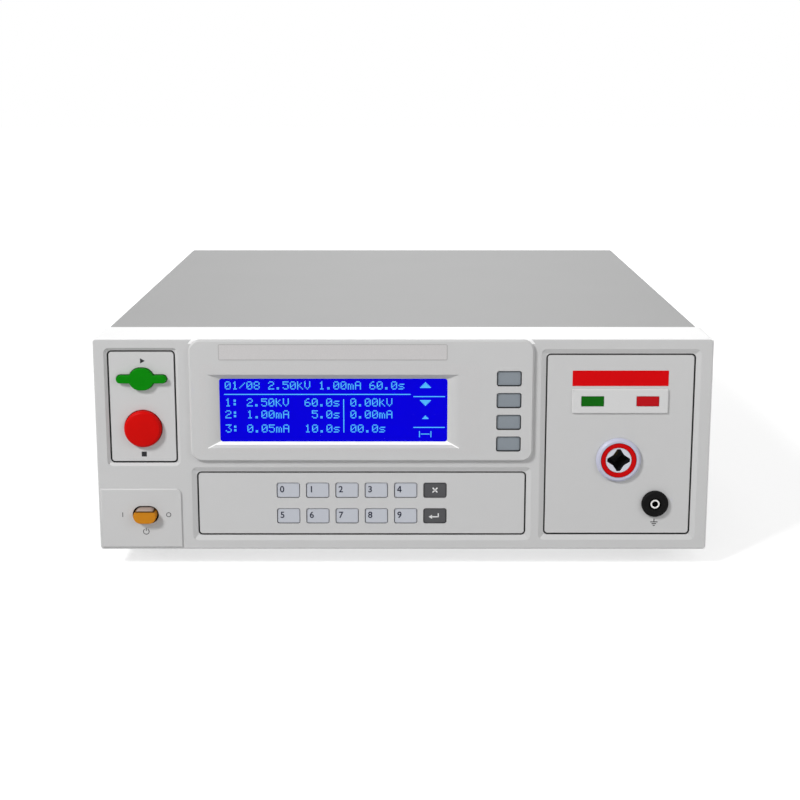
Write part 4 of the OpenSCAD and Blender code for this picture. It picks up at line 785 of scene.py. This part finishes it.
lens_low, lens_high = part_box("lcd_lens")
SCREEN_W = (lens_high.x - lens_low.x) / MM - 2 * LENS_RIM
SCREEN_H = (lens_high.z - lens_low.z) / MM - 2 * LENS_RIM
SCREEN_MIDDLE = at_height(face_point("lcd_lens"), "lcd_module")
print("screen in mm:", round(SCREEN_W, 1), "by", round(SCREEN_H, 1))

# %% [markdown]
# ## Inks and label films
# The marks are screen-printed ink, a little uneven and smoother than the plastic under it. The same
# function with other colours makes the coloured strip and the pale label films.

# %% Ink finishes
INK = 0.03
FILM = 0.12
INK_CELL = 0.6
INK_RELIEF = 0.004


def ink(name, colour, rough=0.5, specular=0.2):
    """Printed ink that is a little uneven."""
    finish, tree, shader = new_finish(name, rough, specular=specular)
    patch = grain(tree, INK_CELL, detail=3.0)
    tinted(tree, shader, patch, colour, first=0.88, second=1.1)
    dulled(tree, shader, patch, rough, less=0.05, more=0.1)
    raised(tree, shader, patch, INK_RELIEF)
    return finish


black_ink = ink("black_ink", (0.018, 0.018, 0.02))
grey_ink = ink("grey_ink", (0.09, 0.09, 0.095))
key_ink = ink("key_ink", (0.022, 0.024, 0.045))
white_ink = ink("white_ink", (0.82, 0.82, 0.82))
red_film = ink("red_film", (0.66, 0.002, 0.004), 0.4, 0.05)
pale_film = ink("pale_film", (0.575, 0.562, 0.562), 0.4)
edge_film = ink("edge_film", (0.40, 0.39, 0.39), 0.4)
screen_film = ink("screen_film", (0.57, 0.566, 0.566), 0.45)
print("inks ready")

# %% [markdown]
# ## Numbers on the keys
# Each number key carries its digit near its left end. Text objects make clean outlines, an offset
# makes them bold and a small extrude makes them solid. An offset spoils the small opening of the
# four, so that one is drawn as two outlines. Each digit rides on its own key and goes in with it.

# %% Print the digits
DIGIT_H = 4.6
DIGIT_X = -4.4
DIGIT_Z = 0.4
DIGIT_BOLD = 0.12
SIZE_FOR_HEIGHT = 1.4
FOUR = [
    [(1.02, -2.05), (1.02, -1.05), (1.55, -1.05), (1.55, -0.25), (1.02, -0.25), (1.02, 2.6),
     (0.05, 2.6), (-1.65, -0.3), (-1.65, -1.05), (0.15, -1.05), (0.15, -2.05)],
    [(0.15, -0.25), (0.15, 1.35), (-0.75, -0.25)],
]


def digit(name, text, centre):
    """One character as a thin solid, centred on a point."""
    words = bpy.data.curves.new(name, "FONT")
    words.body = text
    words.size = DIGIT_H * SIZE_FOR_HEIGHT
    words.align_x = "CENTER"
    words.align_y = "CENTER"
    words.extrude = INK
    words.offset = DIGIT_BOLD
    return as_piece(name, words, centre, FRONT_TURN)


for number in range(10):
    name = f"digit_{number}"
    key = f"number_key_{number}"
    spot = face_point(key, DIGIT_X, DIGIT_Z)
    if number == 4:
        mark = thin_shape(name, FOUR, spot, INK)
    else:
        mark = digit(name, str(number), spot)
    dress(mark, key_ink, key)
print("digits printed: 0 to", number)

# %% [markdown]
# ## Signs on the dark keys, and by the buttons
# The two dark keys get a cross and a return arrow. A triangle stands over the start button, a square
# under the stop button, and the usual sign for mains under the power button, with a line and a ring
# for on and off beside it. The sign for earth marks the return socket. All are common signs. Where
# strokes cross, one curve would leave a hole, so each stroke is filled alone and then joined.

# %% Print the signs
SIGN_OVER_START = 12.8
SIGN_UNDER_STOP = 18.6
SIGN_UNDER_POWER = 12.4
SIGN_BESIDE_POWER = 16.2
SIGN_UNDER_RETURN = 14.2
cross = [bar(-1.7, -1.7, 1.7, 1.7, 0.9), bar(-1.7, 1.7, 1.7, -1.7, 0.9)]
back_arrow = [bar(-2.6, -0.8, 2.4, -0.8, 0.8), bar(2.4, -1.2, 2.4, 1.8, 0.8),
              [(-4.4, -0.8), (-2.0, 0.7), (-2.0, -2.3)]]


def sign(name, strokes, centre, finish, body="case"):
    """Strokes that may cross, each as its own thin solid in one piece."""
    whole = bmesh.new()
    for i, stroke in enumerate(strokes):
        part = thin_shape(f"{name}_{i}", [stroke], centre, INK)
        whole.from_mesh(part.data)
        bpy.data.objects.remove(part)
    return dress(built_piece(name, whole), finish, body)


sign("cancel_sign", cross, face_point("cancel_key"), white_ink, "cancel_key")
sign("enter_sign", back_arrow, face_point("enter_key"), white_ink, "enter_key")

start_mark = [ring_points(2.2, (0.4, 0.0), 3)]
stop_mark = [round_rect(3.6, 3.6, 0.3)]
mains_mark = [open_ring(2.3, 1.7, 35), bar(0, 0.4, 0, 2.7, 0.6)]
on_mark = [bar(0, -1.7, 0, 1.7, 0.6)]
off_mark = [ring_points(1.8), ring_points(1.25)]
earth_mark = [bar(0, 0.6, 0, 2.8, 0.65), bar(-2.6, 0.4, 2.6, 0.4, 0.65),
              bar(-1.6, -0.9, 1.6, -0.9, 0.65), bar(-0.7, -2.2, 0.7, -2.2, 0.65)]

start_at = at_height(face_point("start_button", z=SIGN_OVER_START), "start_stop_plate")
stop_at = at_height(face_point("stop_button", z=-SIGN_UNDER_STOP), "start_stop_plate")
power_at = at_height(face_point("power_button", z=-SIGN_UNDER_POWER), "power_plate")
on_at = at_height(face_point("power_button", x=-SIGN_BESIDE_POWER), "power_plate")
off_at = at_height(face_point("power_button", x=SIGN_BESIDE_POWER), "power_plate")
earth_at = at_height(face_point("return_socket", z=-SIGN_UNDER_RETURN), "output_plate")
sign("start_sign", start_mark, start_at, black_ink)
sign("stop_sign", stop_mark, stop_at, black_ink)
sign("mains_sign", mains_mark, power_at, grey_ink)
sign("on_sign", on_mark, on_at, grey_ink)
dress(thin_shape("off_sign", off_mark, off_at, INK), grey_ink)
sign("earth_sign", earth_mark, earth_at, black_ink)
print("signs printed")

# %% [markdown]
# ## Label films on the front
# A long pale film with a fine border lies over the screen, a wide thin film frames the screen, and a
# plain red strip lies over the lamps. They are thin sheets stuck on the faces: each is one outline,
# and the border and the film round the screen have a second one for their opening.

# %% Stick on the films
TITLE_W = 158.0
TITLE_H = 11.2
TITLE_OVER_SCREEN = 19.5
TITLE_CORNER = 1.0
BORDER = 0.45
BORDER_CORNER = 0.6
film_at = at_height(SCREEN_MIDDLE, "display_bezel")
title_at = film_at + Vector((0, 0, SCREEN_H / 2 + TITLE_OVER_SCREEN)) * MM
title_outline = round_rect(TITLE_W, TITLE_H, TITLE_CORNER)
dress(thin_shape("title_film", [title_outline], title_at, FILM), pale_film)
inside_border = round_rect(TITLE_W - 2 * BORDER, TITLE_H - 2 * BORDER, BORDER_CORNER)
title_front = title_at - Vector((0, FILM * MM, 0))
border = thin_shape("title_border", [title_outline, inside_border], title_front, INK)
dress(border, edge_film)

FILM_W = 194.4
FILM_H = 64.0
FILM_OFF = (4.4, 2.2)
OPENING_SIDE = 17.2
OPENING_SILL = 8.4
FILM_CORNER = 1.5
OPENING_CORNER = 1.0
film_outlines = [round_rect(FILM_W, FILM_H, FILM_CORNER, FILM_OFF),
                 round_rect(SCREEN_W + OPENING_SIDE, SCREEN_H + OPENING_SILL, OPENING_CORNER)]
dress(thin_shape("screen_film", film_outlines, film_at, FILM / 2), screen_film)

STRIP_W = 66.8
STRIP_H = 11.0
STRIP_CORNER = 0.4
STRIP_OVER_LAMPS = 16.2
strip_at = at_height(face_point("lamp_frame", z=STRIP_OVER_LAMPS), "output_plate")
strip = thin_shape("red_strip", [round_rect(STRIP_W, STRIP_H, STRIP_CORNER)], strip_at, FILM)
dress(strip, red_film)
print("films stuck on: title, screen film and strip")

# %% [markdown]
# ## What the screen shows
# The readings are drawn as the screen draws them: square dots on a five by seven grid. The characters
# are written out as rows of ones and noughts, and a loop sets one small flat block for each
# dot. The texts are plain example readings, and all ten digits are there so that they can be changed.

# %% Draw the readings in dots
GLYPHS = {
    "0": "01110 10001 10011 10101 11001 10001 01110", "1": "00100 01100 00100 00100 00100 00100 01110",
    "2": "01110 10001 00001 00110 01000 10000 11111", "3": "11111 00010 00100 00010 00001 10001 01110",
    "4": "00010 00110 01010 10010 11111 00010 00010", "5": "11111 10000 11110 00001 00001 10001 01110",
    "6": "00110 01000 10000 11110 10001 10001 01110", "7": "11111 00001 00010 00100 01000 01000 01000",
    "8": "01110 10001 10001 01110 10001 10001 01110", "9": "01110 10001 10001 01111 00001 00010 01100",
    ".": "00000 00000 00000 00000 00000 01100 01100", ":": "00000 01100 01100 00000 01100 01100 00000",
    "/": "00000 00001 00010 00100 01000 10000 00000", "k": "10000 10010 10100 11000 10100 10010 10001",
    "V": "10001 10001 10001 10001 10001 01010 00100", "m": "00000 00000 11010 10101 10101 10101 10101",
    "A": "01110 10001 10001 11111 10001 10001 10001", "s": "00000 00000 01111 10000 01110 00001 11110",
}
DOT = 0.84
DOT_BODY = 0.72
DOT_THICK = 0.04
LETTER_STEP = 6
RULE = 0.6
BLOCK_FACES = 6
# Left and top on the screen, and the text.
LINES = [
    (3.6, 2.6, "01/08 2.50kV 1.00mA 60.0s"),
    (3.6, 14.8, "1: 2.50kV  60.0s"), (91.0, 14.8, "0.00kV"),
    (3.6, 23.4, "2: 1.00mA   5.0s"), (91.0, 23.4, "0.00mA"),
    (3.6, 33.6, "3: 0.05mA  10.0s"), (91.0, 33.6, "00.0s"),
]
# Left, top, width and height.
RULES = [
    (3.0, 11.6, 130.0, RULE), (135.0, 13.2, 22.0, RULE), (135.0, 35.4, 22.0, RULE),
    (86.0, 15.4, RULE, 24.0), (139.0, 38.4, RULE, 4.4), (147.0, 38.4, RULE, 4.4),
    (140.2, 40.2, 6.2, RULE),
]
# Middle, top, width in dots and the way it points.
ARROWS = [(143.4, 3.2, 9, "up"), (143.4, 16.0, 9, "down"), (143.4, 27.2, 5, "up")]
screen_left = SCREEN_MIDDLE.x / MM - SCREEN_W / 2
screen_top = SCREEN_MIDDLE.z / MM + SCREEN_H / 2
screen_face = SCREEN_MIDDLE.y / MM


def block(mesh, x, z, width, height):
    """One flat block on the screen; x and z are its upper left corner from the screen's."""
    across = screen_left + x + width / 2
    up = screen_top - z - height / 2
    centre = Vector((across, screen_face - DOT_THICK / 2, up))
    place = Matrix.Translation(centre) @ Matrix.Diagonal((width, DOT_THICK, height, 1))
    bmesh.ops.create_cube(mesh, size=1.0, matrix=Matrix.Scale(MM, 4) @ place)


def written(mesh, left, top, text):
    """One line of text, in dots."""
    for index, letter in enumerate(text):
        for row, dots in enumerate(GLYPHS.get(letter, "").split()):
            for column, lit in enumerate(dots):
                if lit == "1":
                    x = left + (LETTER_STEP * index + column) * DOT
                    block(mesh, x, top + row * DOT, DOT_BODY, DOT_BODY)


def arrow(mesh, middle, top, width, way):
    """A triangle of rows of dots, so many dots wide, that points up or down."""
    for row in range((width + 1) // 2):
        span = 2 * row + 1 if way == "up" else width - 2 * row
        block(mesh, middle - span * DOT / 2, top + row * DOT, span * DOT, DOT_BODY)


dots = bmesh.new()
for draw, rows in ((written, LINES), (block, RULES), (arrow, ARROWS)):
    for row in rows:
        draw(dots, *row)
readings = built_piece("screen_readings", dots)
dress(readings, finishes["screen_dots"])
print("screen blocks:", len(readings.data.polygons) // BLOCK_FACES)

# %% [markdown]
# ## Screws with cross recesses
# The CAD screws are plain discs on shanks. A real screw here has a low domed head with a cross
# recess. A round grid of points gives the head: its height falls with the radius and dips inside the
# cross. The same mesh is set at each screw's place, read from the loose parts of the CAD piece.

# %% Make the screws
HEAD_R = 3.5
HEAD_H = 1.0
RIM_SHARE = 0.45
SHANK_R = 1.9
SHANK_L = 6.4
TIP_L = 0.6
TIP_SHARE = 0.7
SHANK = [(HEAD_R, 0.0), (SHANK_R, 0.0), (SHANK_R, SHANK_L), (SHANK_R * TIP_SHARE, SHANK_L + TIP_L)]
RECESS = 0.55
ARM_W = 0.55
ARM_L = 2.0
ARM_SLOPE = 0.15
END_SLOPE = 0.3
RINGS = 12
SPOKES = 48
SHARP_OVER = math.radians(40)


def sloped(inside, width):
    """Rises from 0 to 1 over the width of a slope, from the edge inwards."""
    return min(1.0, max(0.0, inside / width))


def head_height(x, y):
    """Height of the head above its seat, in millimetres, with the cross pressed in."""
    dome = HEAD_H * (RIM_SHARE + (1 - RIM_SHARE) * (1 - (x * x + y * y) / HEAD_R ** 2))
    longer, shorter = max(abs(x), abs(y)), min(abs(x), abs(y))
    return dome - RECESS * sloped(ARM_W - shorter, ARM_SLOPE) * sloped(ARM_L - longer, END_SLOPE)


def screw_mesh(into, place):
    """Adds one screw; its head points along +z of the place, its shank along -z."""
    rings = []
    for ring in range(1, RINGS + 1):
        points = ring_points(HEAD_R * ring / RINGS, steps=SPOKES)
        rings.append([into.verts.new(place @ Vector((x, y, head_height(x, y)))) for x, y in points])
    top = into.verts.new(place @ Vector((0, 0, head_height(0, 0))))
    for radius, depth in SHANK:
        points = ring_points(radius, steps=SPOKES)
        rings.append([into.verts.new(place @ Vector((x, y, -depth))) for x, y in points])
    tip = into.verts.new(place @ Vector((0, 0, -SHANK[-1][1])))
    for i in range(SPOKES):
        j = (i + 1) % SPOKES
        into.faces.new((top, rings[0][i], rings[0][j]))
        for outer, inner in zip(rings[1:], rings[:-1]):
            into.faces.new((inner[i], outer[i], outer[j], inner[j]))
        into.faces.new((rings[-1][i], tip, rings[-1][j]))


def loose_parts(node):
    """The lowest and highest corner of each separate solid of a CAD piece."""
    mesh = bmesh.new()
    mesh.from_mesh(nodes[node].data)
    bmesh.ops.remove_doubles(mesh, verts=mesh.verts, dist=JOIN_WITHIN * MM)
    left = set(mesh.verts)
    found = []
    while left:
        edge = [left.pop()]
        part = []
        while edge:
            vert = edge.pop()
            part.append(vert.co.copy())
            for link in vert.link_edges:
                other = link.other_vert(vert)
                if other in left:
                    left.remove(other)
                    edge.append(other)
        found.append([Vector(f(p[i] for p in part) for i in range(3)) for f in (min, max)])
    mesh.free()
    return sorted(found, key=lambda pair: tuple(pair[0]))


screws = bmesh.new()
screw_boxes = loose_parts("case_screws")
for low, high in screw_boxes:
    size = high - low
    middle = (low + high) / 2
    if size.x > size.y:
        side = 1 if middle.x > 0 else -1
        crown = high.x if side > 0 else low.x
        seat = Vector((crown - side * HEAD_H * MM, middle.y, middle.z))
        turn = Matrix.Rotation(side * math.pi / 2, 4, "Y")
    else:
        seat = Vector((middle.x, high.y - HEAD_H * MM, middle.z))
        turn = Matrix.Rotation(-math.pi / 2, 4, "X")
    screw_mesh(screws, Matrix.Translation(seat) @ turn @ Matrix.Scale(MM, 4))
bmesh.ops.recalc_face_normals(screws, faces=screws.faces)
screw_piece = built_piece("cross_head_screws", screws)
screw_shape = screw_piece.data
screw_shape.polygons.foreach_set("use_smooth", [True] * len(screw_shape.polygons))
screw_shape.set_sharp_from_angle(angle=SHARP_OVER)
dress(screw_piece, finishes["screw_steel"])
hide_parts("case_screws")
print("screws made:", len(screw_boxes))

# %% [markdown]
# ## Contacts of the nine-way port
# The port's shell holds a dark insulating face with nine pins in two rows. The face is a thin solid
# with the shell's slanted outline and the pins are short rods that taper towards their tips.

# %% Fill the port
PORT_FACE_W = 14.6
PORT_FACE_LEAN = 1.4
PORT_FACE_H = 6.0
PORT_FACE_T = 0.6
PORT_REACH = 6.0
PORT_FLANGE = 1.0
PIN_PITCH = 2.77
PIN_ROWS = ((5, 1.42), (4, -1.42))
PIN_R = 0.5
PIN_L = 4.4
PIN_TIP = 0.6
PIN_STEPS = 16
PIN_TURN = Matrix.Rotation(-math.pi / 2, 4, "X")
port_low, port_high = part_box("serial_port")
port_middle = (port_low + port_high) / 2
port_floor = Vector((port_middle.x, port_high.y - (PORT_REACH - PORT_FLANGE) * MM, port_middle.z))
half_w, half_h = PORT_FACE_W / 2, PORT_FACE_H / 2
port_outline = [(half_w, half_h), (-half_w, half_h), (PORT_FACE_LEAN - half_w, -half_h),
                (half_w - PORT_FACE_LEAN, -half_h)]
port_face = thin_shape("port_insulator", [port_outline], port_floor, PORT_FACE_T, REAR_TURN)
dress(port_face, finishes["socket_black"])

pins = bmesh.new()
for count, height in PIN_ROWS:
    for i in range(count):
        across = (i - (count - 1) / 2) * PIN_PITCH
        middle = port_floor + Vector((across, PIN_L / 2, height)) * MM
        bmesh.ops.create_cone(pins, cap_ends=True, segments=PIN_STEPS, radius1=PIN_R * MM,
                              radius2=PIN_R * PIN_TIP * MM, depth=PIN_L * MM,
                              matrix=Matrix.Translation(middle) @ PIN_TURN)
dress(built_piece("port_pins", pins), finishes["contact_brass"])
print("port pins:", sum(count for count, height in PIN_ROWS))

# %% [markdown]
# ## The floor and the light
# The picture has a white ground and soft, even light. The floor is white paper: it takes the
# tester's shadow, and what lies in full light is seen as white. The sky is white where the camera,
# a gloss or a clear piece sees it, and gives a calm fill. One strong lamp from the upper left gives
# the faces their shape, a weak one from the right lifts the shadows, and one behind lights the rear.
# The floor's and the lamps' sizes and places, NEAR and FAR are in metres.

# %% Lay the floor
FLOOR_HALF = 6.0
FLOOR_DROP = 0.0002
PAPER_CELL = 300.0
NEAR = 0.4
FAR = 2.0
NEAR_LIFT = 0.62
FAR_LIFT = 0.9


def seen_directly(tree):
    """One where the camera sees a surface, plainly, in a gloss or through a clear piece."""
    path = tree.nodes.new("ShaderNodeLightPath")
    seen = calculated(tree, "MAXIMUM", path.outputs["Is Camera Ray"], path.outputs["Is Glossy Ray"])
    return calculated(tree, "MAXIMUM", seen, path.outputs["Is Transmission Ray"])


def paper(name):
    """White paper that keeps a soft shadow and otherwise shows as plain white."""
    finish, tree, shader = new_finish(name, 0.9, specular=0.0)
    pale = mixed(tree, grain(tree, PAPER_CELL), (0.60, 0.60, 0.60), (0.62, 0.62, 0.62))
    tree.links.new(pale, shader.inputs["Base Color"])
    shader.inputs["Emission Color"].default_value = (1, 1, 1, 1)
    away = tree.nodes.new("ShaderNodeVectorMath")
    away.operation = "LENGTH"
    tree.links.new(own_place(tree), away.inputs[0])
    lift = spread(tree, away.outputs["Value"], NEAR_LIFT, FAR_LIFT, NEAR, FAR)
    glow = calculated(tree, "MULTIPLY", seen_directly(tree), lift)
    tree.links.new(glow, shader.inputs["Emission Strength"])
    return finish


floor_mesh = bpy.data.meshes.new("floor")
sides = ((-1, -1), (1, -1), (1, 1), (-1, 1))
corners = [(x * FLOOR_HALF, y * FLOOR_HALF, -FLOOR_DROP) for x, y in sides]
floor_mesh.from_pydata(corners, [], [(0, 1, 2, 3)])
floor = linked("floor", floor_mesh)
floor.data.materials.append(paper("white_paper"))
floor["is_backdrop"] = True
print("floor half width in metres:", FLOOR_HALF)

# %% Light the scene
FILL = 0.28
world = bpy.data.worlds.new("white_sky")
world.use_nodes = True
sky = world.node_tree
background = sky.nodes["Background"]
background.inputs["Color"].default_value = (1, 1, 1, 1)
strength = spread(sky, seen_directly(sky), FILL, 1.0, 0.0, 1.0)
sky.links.new(strength, background.inputs["Strength"])
bpy.context.scene.world = world


def lamp(name, spot, aim, width, watts):
    """A square soft lamp that faces a point."""
    light = bpy.data.lights.new(name, "AREA")
    light.size = width
    light.energy = watts
    holder = linked(name, light)
    holder.location = spot
    holder.rotation_euler = (Vector(aim) - Vector(spot)).to_track_quat("-Z", "Y").to_euler()


lamp("key_lamp", (-2.4, -2.4, 2.6), aim=(0, -0.1, 0.08), width=0.75, watts=127.5)
lamp("side_lamp", (1.5, -1.4, 1.0), aim=(0.2, -0.2, 0.08), width=0.9, watts=8.7)
lamp("back_lamp", (0.1, 2.2, 1.6), aim=(0, 0.1, 0.08), width=1.2, watts=22.0)
bpy.context.scene.view_settings.view_transform = "Standard"
print("lamps placed: 3")

# %% [markdown]
# ## Compare the sizes
# The dressed model's box is set against the CAD box, and how far it grows past it on each side is
# printed.

# %% Write the sizes
new_low, new_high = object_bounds()
grown = [[round(x / MM, 2) for x in step] for step in (cad_low - new_low, new_high - cad_high)]
print("grown by mm:", *grown)
